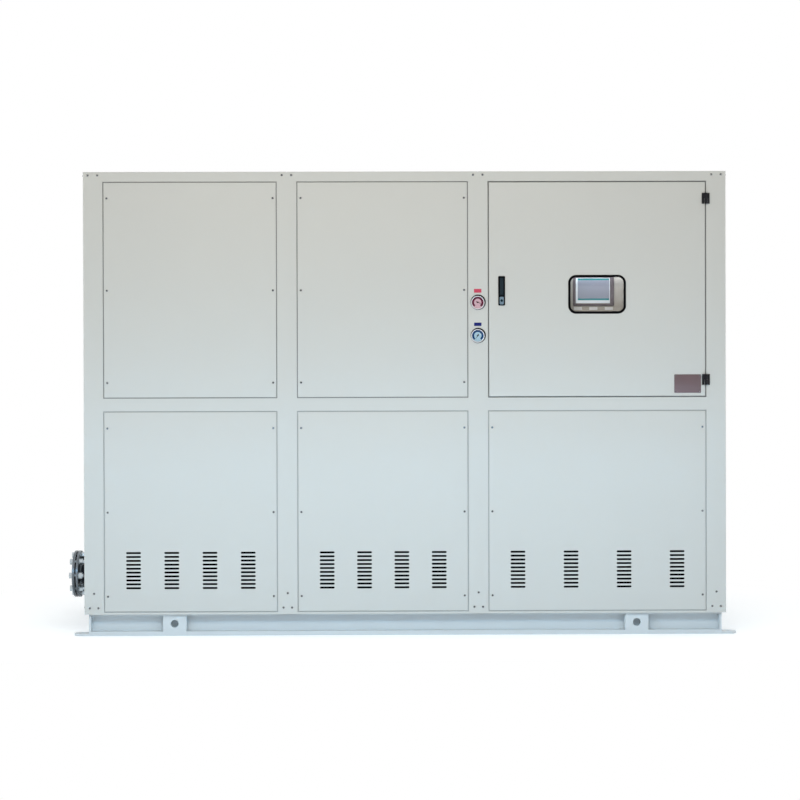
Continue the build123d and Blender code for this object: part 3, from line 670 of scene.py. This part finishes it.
def flangeBolts(back, face):
    bm = bmesh.new()
    shank, chamfer, washer, edge = (bolt[key] for key in ("shank", "chamfer", "washer", "washerEdge"))
    washerFoot = back - bolt["washerThick"]
    end = washerFoot - bolt["nutHeight"] - bolt["tail"]
    for turn in range(flange["bolts"]):
        angle = 2 * pi * turn / flange["bolts"]
        spot = Matrix.Translation((flange["boltCircle"] * cos(angle), flange["boltCircle"] * sin(angle), 0))
        mergeIn(bm, hexHead(face, face + bolt["headHeight"]), spot)
        part = bmesh.new()
        turned(part, [(0, end), (shank - chamfer, end), (shank, end + chamfer), (shank, face), (0, face)], 20)
        turned(part, [(shank, washerFoot), (washer - edge, washerFoot), (washer, washerFoot + edge),
                      (washer, back), (shank, back)], 32, closed=True)
        mergeIn(bm, part, spot)
        over = (Matrix.Rotation(radians(180), 4, "X")
                @ Matrix.Rotation(radians(bolt["nutTurn"] * turn), 4, "Z"))
        mergeIn(bm, hexHead(-washerFoot, bolt["nutHeight"] - washerFoot), spot @ over)
    return bm


def waterConnection(index, setback):
    place = walls["left"] @ Matrix.Translation((cabinetDepth - setback, pipe["height"], 0))
    face, thick, rim = flange["reach"], flange["thickness"], flange["rim"]
    radius, steps = flange["radius"], flange["steps"]
    joint = face - thick
    back = joint - flange["faceHeight"] - thick
    gasketFoot, gasketTop = joint - flange["gasketThick"], joint + flange["squash"]
    outer, bore, cut = pipe["outer"], pipe["outer"] - pipe["wall"], flange["bore"]
    bm = bmesh.new()
    turned(bm, [(bore, -pipe["inside"]), (outer, -pipe["inside"]),
                *((outer + out, back + up) for out, up in flange["neck"]),
                (radius - rim, back), (radius, back + rim), (radius, back + thick - rim),
                (radius - rim, back + thick), (flange["faceRadius"] + 1, back + thick),
                (flange["faceRadius"], back + thick + 1), (flange["faceRadius"], gasketFoot),
                (bore, gasketFoot)], steps, closed=True)
    setFinish([f for f in bm.faces if f.calc_center_median().z < back - flange["pipeUpTo"]], 1)
    pipePiece = addPiece(f"weldedFlange{index}", bm, place, "cabinet", "flange_steel", "flangeSteel",
                         "pipeSteel")
    bm = bmesh.new()
    turned(bm, [(bore, gasketFoot), (flange["gasketRadius"], gasketFoot), (flange["gasketRadius"], gasketTop),
                (bore, gasketTop)], steps, closed=True)
    addPiece(f"flangeGasket{index}", bm, place, "cabinet", "black_rubber", "gasket")
    bm = bmesh.new()
    turned(bm, [(cut, joint), (radius - rim, joint), (radius, joint + rim), (radius, face - rim),
                (radius - rim, face), (cut + 1, face), (cut, face - 1)], steps, closed=True)
    companion = addPiece(f"companionFlange{index}", bm, place, "cabinet", "flange_steel", "flangeSteel")
    addPiece(f"flangeBolts{index}", flangeBolts(back, face), place, "cabinet", "flange_steel", "boltZinc")
    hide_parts("water_pipes")
    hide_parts("companion_flanges")


for index, setback in enumerate(pipe["setbacks"], start=1):
    waterConnection(index, setback)
print("water connections made")

# sections are points of radius and height; each row of the cross is its depth, reach and waist
screw = {"steps": 24, "washer": ((4.0, 0), (6.2, 0), (6.2, 0.65), (5.95, 0.9), (4.0, 0.9)),
         "head": ((4.4, 0.5), (4.6, 1.4), (4.15, 2.5), (3.1, 3.45), (3.25, 3.8)),
         "cross": ((0, 2.9, 1.1), (2.2, 1.798, 0.682)), "nextTurn": 37}
panelScrews = {"inset": 13, "upper": (64, 441, 818), "lower": (66, 410, 754)}
postScrews = {"side": 40, "belowTop": 12, "spread": 19.5, "aboveFoot": ((-17.5, 27), (17.5, 27), (0, 86))}


def screwMesh():
    # pan head with a cross recess on a flat washer
    bm = bmesh.new()
    steps, quarter = screw["steps"], screw["steps"] // 4
    setFinish(turned(bm, screw["washer"], steps, closed=True), 1)
    turned(bm, screw["head"], steps)
    top = screw["head"][-1][1]
    rings = [[v for v in bm.verts if abs(v.co.z - top) < creases["mergeWithin"]]]
    for depth, reach, waist in screw["cross"]:
        ring = []
        for i in range(steps):
            out = reach if i % quarter in (0, 1, quarter - 1) else waist
            angle = 2 * pi * i / steps
            ring.append(bm.verts.new((out * cos(angle), out * sin(angle), top - depth)))
        rings.append(ring)
    skin(bm, rings, False)
    bm.faces.new(rings[-1])
    bmesh.ops.recalc_face_normals(bm, faces=bm.faces)
    return takeMesh(bm, "screwShape")


def screwRow(name, wall, places):
    bm = bmesh.new()
    for count, (x, y) in enumerate(places):
        before = len(bm.verts)
        bm.from_mesh(screwShape)
        bm.verts.ensure_lookup_table()
        turn = Matrix.Translation((x, y, 0)) @ Matrix.Rotation(radians(screw["nextTurn"] * count), 4, "Z")
        bmesh.ops.transform(bm, matrix=turn, verts=bm.verts[before:])
    bm.transform(walls[wall])
    addMesh(name, takeMesh(bm, name), "cabinet", "cabinet_paint", "screwSteel", "cabinetPaint")


def panelScrewPlaces(widthNode, heightNode, wall, level):
    # two columns of screws: one node gives the sides and the other the top
    left, _, right, *_ = onWall(widthNode, wall)
    top, inset = onWall(heightNode, wall)[3], panelScrews["inset"]
    return [(x, top - drop) for x in (left + inset, right - inset) for drop in panelScrews[level]]


def postScrewPlaces(centre):
    high, spread = postTop - postScrews["belowTop"], postScrews["spread"]
    return [(centre - spread, high), (centre + spread, high),
            *((centre + aside, postFoot + up) for aside, up in postScrews["aboveFoot"])]


def allScrews():
    places = []
    for level, count in (("upper", 2), ("lower", 3)):
        for index in range(1, count + 1):
            node = f"front_{level}_panel_{index}"
            places += panelScrewPlaces(node, node, "front", level)
    screwRow("frontPanelScrews", "front", places)
    half = postScrews["side"]
    centres = [half, *(middleOf(onWall(f"front_post_{i}", "front"))[0] for i in (2, 3)), cabinetWidth - half]
    screwRow("frontPostScrews", "front", [place for centre in centres for place in postScrewPlaces(centre)])
    for side in ("left", "right"):
        places = postScrewPlaces(half) + postScrewPlaces(cabinetDepth - half)
        for level in ("upper", "lower"):
            node = f"{side}_{level}_panel"
            places += panelScrewPlaces(node, node, side, level)
        screwRow(f"{side}EndScrews", side, places)
    places = []
    for level in ("upper", "lower"):
        for node in ("front_upper_panel_1", "front_upper_panel_2", "door"):
            places += panelScrewPlaces(node, f"rear_{level}_panels", "rear", level)
    for centre in centres:
        places += postScrewPlaces(cabinetWidth - centre)
    screwRow("rearScrews", "rear", places)


screwShape = screwMesh()
allScrews()
bpy.data.meshes.remove(screwShape)
print("screws made")

# the head sits off the middle of its black mounting flange, so that a dark crescent at the upper right is a
# painted reflection in the chrome bezel; angles in degrees
gauge = {"steps": 72, "flange": ((0, 0), (30.4, 0), (31, 0.6), (31, 2.1), (30.1, 3), (0, 3)),
         "flangeShift": (0.5, 0.8), "headShift": (-1.3, -1.2), "dialLift": 1.2,
         "bezel": ((24.5, 3), (28, 3), (28, 6.6), (27.5, 7.9), (26.7, 8.7), (25.8, 9), (25, 8.8), (24.2, 8.1),
                   (24.5, 7)),
         "dialRadius": 24.6, "dialFoot": 3, "dialTop": 3.4, "bandHeight": 0.15, "bandReach": (23.2, 15.0),
         "bandSteps": 60, "start": 230, "sweep": 280, "ticks": 31, "longTick": (20.4, 0.28),
         "shortTick": (21.2, 0.14), "tickEnd": 22.8, "tickHeight": 0.3,
         "needle": ((18, 0), (0, 1.3), (-7, 1.7), (-7, -1.7), (0, -1.3)), "needleHeights": (4.4, 4.9),
         "hub": ((0, 3.4), (3.2, 3.4), (3.2, 5.0), (2.4, 5.7), (0, 5.9)),
         "glassRadius": 24.7, "glassHeights": (5.2, 6.4)}


def dialFace(pointerTurn):
    low, start, sweep = gauge["dialTop"], gauge["start"], gauge["sweep"]
    outer, inner = gauge["bandReach"]
    bm = bmesh.new()
    plate(bm, [circle(gauge["dialRadius"], (0, -gauge["dialLift"]), 64)], gauge["dialFoot"], low)
    band = (arc((0, 0), outer, start, start - sweep, gauge["bandSteps"])
            + arc((0, 0), inner, start - sweep, start, gauge["bandSteps"]))
    setFinish(plate(bm, [band], low, low + gauge["bandHeight"]), 1)
    for tick in range(gauge["ticks"]):
        reach, half = gauge["shortTick" if tick % 5 else "longTick"]
        mark = bmesh.new()
        plate(mark, [rectangle(reach, -half, gauge["tickEnd"], half)], low, low + gauge["tickHeight"])
        angle = radians(start - sweep * tick / (gauge["ticks"] - 1))
        setFinish(mergeIn(bm, mark, Matrix.Rotation(angle, 4, "Z")), 2)
    needle = bmesh.new()
    plate(needle, [gauge["needle"]], *gauge["needleHeights"], 0.1, 1)
    setFinish(mergeIn(bm, needle, Matrix.Rotation(radians(90 + pointerTurn), 4, "Z")), 2)
    setFinish(turned(bm, gauge["hub"], 24), 2)
    return bm


def gaugeHead(name, height, pointerTurn, dialFinish, bandFinish):
    place = walls["front"] @ Matrix.Translation((gaugeX, height, 0))
    bm = bmesh.new()
    # the black flange, shifted up and right of the head, gives a dark crescent that is a painted reflection in
    # the bezel
    turned(bm, gauge["flange"], gauge["steps"], gauge["flangeShift"])
    flangePiece = addPiece(f"{name}Flange", bm, place, "cabinet", "gauge_chrome", "dialBlack")
    place = place @ Matrix.Translation((*gauge["headShift"], 0))
    bm = bmesh.new()
    turned(bm, gauge["bezel"], gauge["steps"], closed=True)
    addPiece(f"{name}Bezel", bm, place, "cabinet", "gauge_chrome", "gaugeChrome")
    lifted = place @ Matrix.Translation((0, gauge["dialLift"], 0))
    addPiece(f"{name}Dial", dialFace(pointerTurn), lifted, "cabinet", "gauge_chrome",
             dialFinish, bandFinish, "dialBlack")
    bm = bmesh.new()
    plate(bm, [circle(gauge["glassRadius"], steps=64)], *gauge["glassHeights"], 0.2, 1)
    addPiece(f"{name}Glass", bm, place, "cabinet", "window_glass", "dialGlass")
    return flangePiece


gaugeX = middleOf(onWall("pressure_gauges", "front"))[0]
gaugeHeights = {"high": 1364, "low": 1228}
pointerTurns = {"high": -110, "low": 150}
highFlange = gaugeHead("highGauge", gaugeHeights["high"], pointerTurns["high"], "dialPink", "dialRed")
gaugeHead("lowGauge", gaugeHeights["low"], pointerTurns["low"], "dialPale", "dialBlue")
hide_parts("pressure_gauges")
print("gauges made")

# plain strips over the gauges: name, middle height and height of each
strips = {"width": 30.5, "thickness": 0.5, "radius": 1.2, "aside": -1, "bevel": 0.15,
          "rows": (("Red", 1411.5, 15.5), ("Blue", 1274.5, 14))}
for name, height, tall in strips["rows"]:
    bm = bmesh.new()
    plate(bm, [roundedRect(strips["width"], tall, strips["radius"], (gaugeX + strips["aside"], height), 4)],
          0, strips["thickness"], strips["bevel"], 1)
    addPiece(f"strip{name}", bm, walls["front"], "cabinet", "cabinet_paint", f"label{name}")

ratingPlate = {"size": (110, 76, 3), "thickness": 1.0, "centre": (1157.8 - leftX, 1029.3), "bevel": 0.3,
               "rivetReach": (49.5, 32.5),
               "rivet": ((2.2, 0.7), (2.2, 1.2), (1.76, 1.8), (0.88, 2.1), (0, 2.2))}


def blankRatingPlate():
    x, y = ratingPlate["centre"]
    bm = bmesh.new()
    plate(bm, [roundedRect(*ratingPlate["size"], (x, y), 5)],
          0, ratingPlate["thickness"], ratingPlate["bevel"])
    rivetX, rivetY = ratingPlate["rivetReach"]
    for sx in (-1, 1):
        for sy in (-1, 1):
            setFinish(turned(bm, ratingPlate["rivet"], 20, (x + sx * rivetX, y + sy * rivetY)), 1)
    return bm


# the plate's pinkish patches are a painted reflection, given by its finish
addPiece("ratingPlate", blankRatingPlate(), walls["front"], "door", "button_metal",
         "plateSteel", "screwSteel")
print("blank plates made")

# section of the seal as distance out from its inner edge, and height
sealSection = ((0, 0), (0, 0.6), (0.5, 1.6), (1.6, 2.3), (3.4, 3), (6.4, 3), (8.4, 2.4), (9.5, 1.4),
               (10, 0.4), (10, 0), (5, 0), (3, 0))


def windowSeal():
    width, height, radius = window["sealInner"]
    bm, rings = bmesh.new(), []
    for out, high in sealSection:
        outline = roundedRect(width + 2 * out, height + 2 * out, radius + out, windowCentre,
                              window["sealSteps"])
        rings.append([bm.verts.new((x, y, high)) for x, y in outline])
    skin(bm, rings, True)
    return bm


sealPiece = addPiece("windowSeal", windowSeal(), walls["front"], "door", "black_rubber", "blackRubber")
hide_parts("window_seal")

screenBox = onWall("touch_screen", "front")
screen = {"displayWidth": 131, "displayHeight": 90, "displayTop": 10, "borderLeft": 8, "borderFoot": 13,
          "border": 2.5, "bandHeight": 7, "bandSides": 1, "bandFoot": 0.2, "bandTop": 0.1, "bodyMargin": 8.3,
          "recess": 1.5, "rimDepth": 6.9, "borderSink": 0.5, "rimBevel": 0.9, "borderBevel": 0.2,
          "bodyBevel": 0.8}


def touchScreen():
    _, _, _, top, back, face = screenBox
    middle, high = middleOf(screenBox)[0], top - screen["displayTop"]
    shown = (middle - screen["displayWidth"] / 2, high - screen["displayHeight"],
             middle + screen["displayWidth"] / 2, high)
    border = (shown[0] - screen["borderLeft"], shown[1] - screen["borderFoot"], shown[2] + screen["border"],
              high + screen["border"])
    deep, glass, band = face - screen["rimDepth"], face - screen["recess"], screen["bandHeight"]
    bm = bmesh.new()
    plate(bm, [roundedBox(screenBox, 3, 4), roundedBox(border, 1, 3)], deep, face, screen["rimBevel"])
    setFinish(plate(bm, [rectangle(*border), rectangle(*shown)],
                    deep, face - screen["borderSink"], screen["borderBevel"], 1), 1)
    setFinish(plate(bm, [rectangle(*shown)], deep, glass), 2)
    left, right = shown[0] + screen["bandSides"], shown[2] - screen["bandSides"]
    for low in (high - band, shown[1]):
        setFinish(plate(bm, [rectangle(left, low, right, low + band)],
                        glass - screen["bandFoot"], glass + screen["bandTop"]), 3)
    plate(bm, [rectangle(*grown(screenBox, -screen["bodyMargin"]))], back, deep, screen["bodyBevel"])
    return bm


screenPiece = addPiece("touchScreen", touchScreen(), walls["front"], "cabinet", "screen_plastic",
                       "screenPlastic", "screenBorder", "displayGlass", "displayBand")
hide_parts("touch_screen")

coverStrips = {"size": (34, 12.5, 1), "height": 1341.5, "spacing": 64, "thickness": 0.6, "bevel": 0.15,
               "belowScreenFace": 7}


def coverStripShape():
    foot = screenBox[5] - coverStrips["belowScreenFace"]
    bm = bmesh.new()
    for place in (-1, 0, 1):
        centre = (middleOf(screenBox)[0] + place * coverStrips["spacing"], coverStrips["height"])
        plate(bm, [roundedRect(*coverStrips["size"], centre, 3)], foot, foot + coverStrips["thickness"],
              coverStrips["bevel"], 1)
    return bm


addPiece("coverStrips", coverStripShape(), walls["front"], "cabinet", "inner_paint", "labelWhite")
print("window and touch screen made")

leverBox = onWall("latch_lever", "front")
buttonBox = onWall("latch_button", "front")
latch = {"plateRadius": 4, "play": 1.5, "pocketDepth": 8.5, "boreDepth": 17, "boreRadius": 3.5,
         "buttonPlay": 0.5, "buttonTop": 0.5, "bevel": 0.7, "tipRadius": 3.5, "leverBevel": 0.8,
         "pinRadius": 2, "pinPlay": 0.2, "pinSeat": 2, "buttonRadius": 3, "buttonBevel": 0.9,
         "slot": (1.5, 6.5, 0.7), "slotHeights": (-1.2, -0.35),
         "key": ((5.6, -1.4), (5.6, -0.3), (5.1, 0), (4.3, 0), (3.9, -0.45), (0, -0.45))}


def sideways():
    # stands a flat drawing of (outward, up) across the wall, at the middle of the lever
    turn = Matrix(((0, 0, -1), (0, 1, 0), (1, 0, 0))).to_4x4()
    return Matrix.Translation((middleOf(leverBox)[0], 0, 0)) @ turn


def leverAxis():
    half = (leverBox[5] - leverBox[4]) / 2
    return half, (leverBox[4] + half, leverBox[3] - half)


def latchHousing():
    back, face = latchBox[4:]
    bm = bmesh.new()
    rim, pocket, bore = (addLoop(bm, outline, face) for outline in (
        roundedBox(latchBox, latch["plateRadius"], 6), rectangle(*grown(leverBox, latch["play"])),
        roundedBox(grown(buttonBox, latch["buttonPlay"]), latch["boreRadius"], 5)))
    fillLoops(bm, [rim, pocket, bore])
    closeLoop(bm, pushLoop(bm, pocket, -latch["pocketDepth"]))
    closeLoop(bm, pushLoop(bm, bore, -latch["boreDepth"]))
    rim = pushLoop(bm, rim, 0)
    bodyRim = addLoop(bm, rectangle(*latchBody), 0)
    fillLoops(bm, [rim, bodyRim])
    closeLoop(bm, pushLoop(bm, bodyRim, back))
    bmesh.ops.recalc_face_normals(bm, faces=bm.faces)
    bevelRims(bm, latch["bevel"])
    pin, radius = bmesh.new(), latch["pinRadius"]
    reach = (leverBox[2] - leverBox[0]) / 2 + latch["play"] + latch["pinSeat"]
    turned(pin, [(0, -reach), (radius, -reach), (radius, reach), (0, reach)], 24, leverAxis()[1])
    mergeIn(bm, pin, sideways())
    return bm


def latchLever():
    # bar with a round end about its pin, and a rounded tip
    left, foot, right, _, back, face = leverBox
    half, axis = leverAxis()
    tip, wide = latch["tipRadius"], (right - left) / 2
    outline = arc(axis, half, 0, 180, 12) + [(back, foot)] + arc((face - tip, foot + tip), tip, -90, 0, 6)
    bm = bmesh.new()
    plate(bm, [outline, circle(latch["pinRadius"] + latch["pinPlay"], axis, 24)],
          -wide, wide, latch["leverBevel"], 3)
    return bm


def latchButton():
    back, face = buttonBox[4:]
    low, high = latch["slotHeights"]
    bm = bmesh.new()
    plate(bm, [roundedBox(buttonBox, latch["buttonRadius"], 6)], back, face - latch["buttonTop"],
          latch["buttonBevel"], 3)
    key = [(radius, face + height) for radius, height in latch["key"]]
    setFinish(turned(bm, key, 32, middleOf(buttonBox)), 1)
    # black plate on the lock face standing in for the keyhole's shaded slot, as painted shade
    setFinish(plate(bm, [roundedRect(*latch["slot"], middleOf(buttonBox), 4)], face + low, face + high), 2)
    return bm


housingPiece = addPiece("latchHousing", latchHousing(), walls["front"], "door", "latch_black", "latchBlack")
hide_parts("latch_housing")
leverPiece = addPiece("latchLever", latchLever(), walls["front"] @ sideways(), "lever", "lever_grey",
                      "leverGrey")
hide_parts("latch_lever")
buttonPiece = addPiece("latchButton", latchButton(), walls["front"], "button", "button_metal",
                       "buttonMetal", "lockSteel", "dialBlack")
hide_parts("latch_button")
print("latch made")

weld = {"radius": 2.08, "ripple": 0.35, "pitch": 3.2, "sides": 8, "height": 11, "run": (3, 40), "fromEnd": 24}
lugs = {"centres": (-948, 950), "width": 95, "foot": 20, "top": 80, "back": 12, "inset": 16}


def weldBead(bm, start, end):
    # a rippled fillet of weld along a straight joint
    start, end = Vector(start), Vector(end)
    along = end - start
    count = max(2, int(along.length / weld["pitch"]) * 4)
    axis = along.normalized()
    side = axis.orthogonal().normalized()
    other = axis.cross(side)
    rings = []
    for i in range(count + 1):
        swell = weld["radius"] + weld["ripple"] * sin(pi * i / 2)
        if i in (0, count):
            swell /= 2
        rings.append([bm.verts.new(start + along * i / count + side * x + other * y)
                      for x, y in circle(swell, steps=weld["sides"])])
    skin(bm, rings, False)
    bm.faces.new(rings[0][::-1])
    bm.faces.new(rings[-1])


def baseWelds():
    bm = bmesh.new()
    near, far = weld["run"]
    for way, toe in ((1, frontY + lugs["inset"]), (-1, rearY - lugs["inset"])):
        inner = toe + way * lugs["back"]
        for centre in lugs["centres"]:
            for x in (centre - lugs["width"] / 2, centre + lugs["width"] / 2):
                weldBead(bm, (x, inner, lugs["foot"]), (x, inner, lugs["top"]))
        for x in (leftX + weld["fromEnd"], rightX - weld["fromEnd"]):
            weldBead(bm, (x, toe + way * near, weld["height"]), (x, toe + way * far, weld["height"]))
    return bm


addPiece("baseWelds", baseWelds(), Matrix.Scale(millimetre, 4), "cabinet", "base_paint", "basePaint")
print("welds made")

# from here on lengths are metres
stage = {"reach": 14.0, "color": (0.88, 0.92, 0.95), "lift": 0.33, "fadeStart": 0.04, "fadeEnd": 0.7}


def floorMaterial():
    # seen directly, the lit floor is lifted to white, so that only the object's shadow shows on it
    material, tree, shader = startMaterial("floorWhite")
    feed(tree, shader.inputs, {"Base Color": (*stage["color"], 1), "Roughness": 0.8,
                               "Specular IOR Level": 0.1})
    gap = addNode(tree, "TexCoord")["Object"]
    middle, half = (cadLow + cadHigh) / 2, (cadHigh - cadLow) / 2
    for operation, amount in (("SUBTRACT", (middle.x, middle.y, 0)), ("ABSOLUTE", None),
                              ("SUBTRACT", (half.x, half.y, 0)), ("MAXIMUM", (0, 0, 0))):
        inputs = {0: gap, 1: amount} if amount else {0: gap}
        gap = addNode(tree, "VectorMath", inputs, operation=operation)["Vector"]
    distance = addNode(tree, "VectorMath", {0: gap}, operation="LENGTH")["Value"]
    fade = mapRange(tree, distance, stage["fadeStart"], stage["fadeEnd"], kind="SMOOTHSTEP")
    path = addNode(tree, "LightPath")
    seen = calculate(tree, "MAXIMUM", path["Is Camera Ray"], path["Is Glossy Ray"])
    share = calculate(tree, "MULTIPLY", seen, fade)
    raised = calculate(tree, "MULTIPLY", seen, stage["lift"])
    lift = addNode(tree, "Emission", {"Strength": raised})
    white = addNode(tree, "Emission")
    lifted = addNode(tree, "AddShader", {0: shader.outputs["BSDF"], 1: lift["Emission"]})
    blend = addNode(tree, "MixShader", {"Fac": share, 1: lifted["Shader"], 2: white["Emission"]})
    feed(tree, tree.nodes["Material Output"].inputs, {"Surface": blend["Shader"]})
    return material


def makeFloor():
    bm = bmesh.new()
    bmesh.ops.create_grid(bm, x_segments=4, y_segments=4, size=stage["reach"])
    floor = bpy.data.objects.new("studioFloor", takeMesh(bm, "studioFloor"))
    bpy.context.scene.collection.objects.link(floor)
    floor.data.materials.append(floorMaterial())


makeFloor()
room = {"light": 0.49, "topTint": (1.0, 0.98, 0.96), "lowTint": (1.0, 0.98, 0.97), "fade": 0.6}


def makeRoom():
    # soft light all round; seen directly or through the glass it is plain white
    world = bpy.data.worlds.new("paleRoom")
    bpy.context.scene.world = world
    world.use_nodes = True
    tree = world.node_tree
    plain = tree.nodes["Background"]
    feed(tree, plain.inputs, {"Color": (1, 1, 1, 1)})
    spot = addNode(tree, "TexCoord")
    split = addNode(tree, "SeparateXYZ", {"Vector": spot["Generated"]})
    rise = mapRange(tree, split["Z"], -room["fade"], room["fade"])
    tint = mixColor(tree, rise, (*room["lowTint"], 1), (*room["topTint"], 1))
    lit = addNode(tree, "Background", {"Color": tint, "Strength": room["light"]})
    path = addNode(tree, "LightPath")
    seen = calculate(tree, "MAXIMUM", path["Is Camera Ray"], path["Is Glossy Ray"])
    seen = calculate(tree, "MAXIMUM", seen, path["Is Transmission Ray"])
    blend = addNode(tree, "MixShader", {"Fac": seen, 1: lit["Background"], 2: plain.outputs["Background"]})
    feed(tree, tree.nodes["World Output"].inputs, {"Surface": blend["Shader"]})


makeRoom()
white = (1.0, 1.0, 1.0)
# place, aim, size, power in watts and colour
lamps = {
    "highKey": ((-0.3, -3.6, 2.9), (-0.3, 0, 0.6), (3.0, 0.6), 59.5, (1.0, 0.917, 0.786)),
    "footWash": ((-0.2, -1.1, 0.75), (-0.2, 0, 0.05), (4.0, 0.15), 9.3, (0.42, 0.73, 1.0)),
    "leftSoft": ((-5.2, 0.9, 1.7), (-1.3, 0.5, 0.9), (2.4, 2.4), 42, white),
    "rightSoft": ((5.2, 0.9, 1.7), (1.3, 0.5, 0.9), (2.4, 2.4), 36, white),
    "rearSoft": ((0.3, 5.4, 1.9), (0, 1.1, 0.9), (4.0, 2.2), 60, white),
}
coverLamp = {"behindFront": 0.045, "height": 1.52, "size": (0.3, 0.012), "power": 0.4, "tilt": 75}


def addLamp(name, place, size, power, color):
    data = bpy.data.lights.new(name, "AREA")
    data.shape = "RECTANGLE"
    data.size, data.size_y = size
    data.energy = power
    data.color = color
    light = bpy.data.objects.new(name, data)
    light.location = place
    bpy.context.scene.collection.objects.link(light)
    return light


def makeLamps():
    for name, (place, aim, size, power, color) in lamps.items():
        light = addLamp(name, place, size, power, color)
        light.rotation_euler = (Vector(aim) - Vector(place)).to_track_quat("-Z", "Y").to_euler()
        # a mirrored key lamp would be a hot patch on the roof
        light.visible_glossy = name != "highKey"
    # small hidden lamp on the back of the door, above the window, that lights the inner cover
    across = (leftX + middleOf(screenBox)[0]) * millimetre
    place = (across, frontY * millimetre + coverLamp["behindFront"], coverLamp["height"])
    light = addLamp("coverLamp", place, coverLamp["size"], coverLamp["power"], white)
    light.rotation_euler = (radians(coverLamp["tilt"]), 0, 0)
    light.visible_camera = light.visible_glossy = light.visible_transmission = False
    light.parent = doorPiece


makeLamps()
# the turns are its yaw, its pitch from straight down and its roll, in degrees
viewpoint = {"place": (-0.084, -7.446, 1.021), "lens": 81.351, "sensor": 36,
             "turns": ((-0.485, "Z"), (89.569, "X"), (-0.161, "Z"))}


def makeCamera():
    data = bpy.data.cameras.new("photoCamera")
    data.lens, data.sensor_width = viewpoint["lens"], viewpoint["sensor"]
    camera = bpy.data.objects.new("photoCamera", data)
    camera.matrix_world = Matrix.Translation(viewpoint["place"])
    for angle, axis in viewpoint["turns"]:
        camera.matrix_world @= Matrix.Rotation(radians(angle), 4, axis)
    bpy.context.scene.collection.objects.link(camera)
    bpy.context.scene.camera = camera


makeCamera()
bpy.context.scene.view_settings.view_transform = "Standard"
print("stage, lights and camera made")
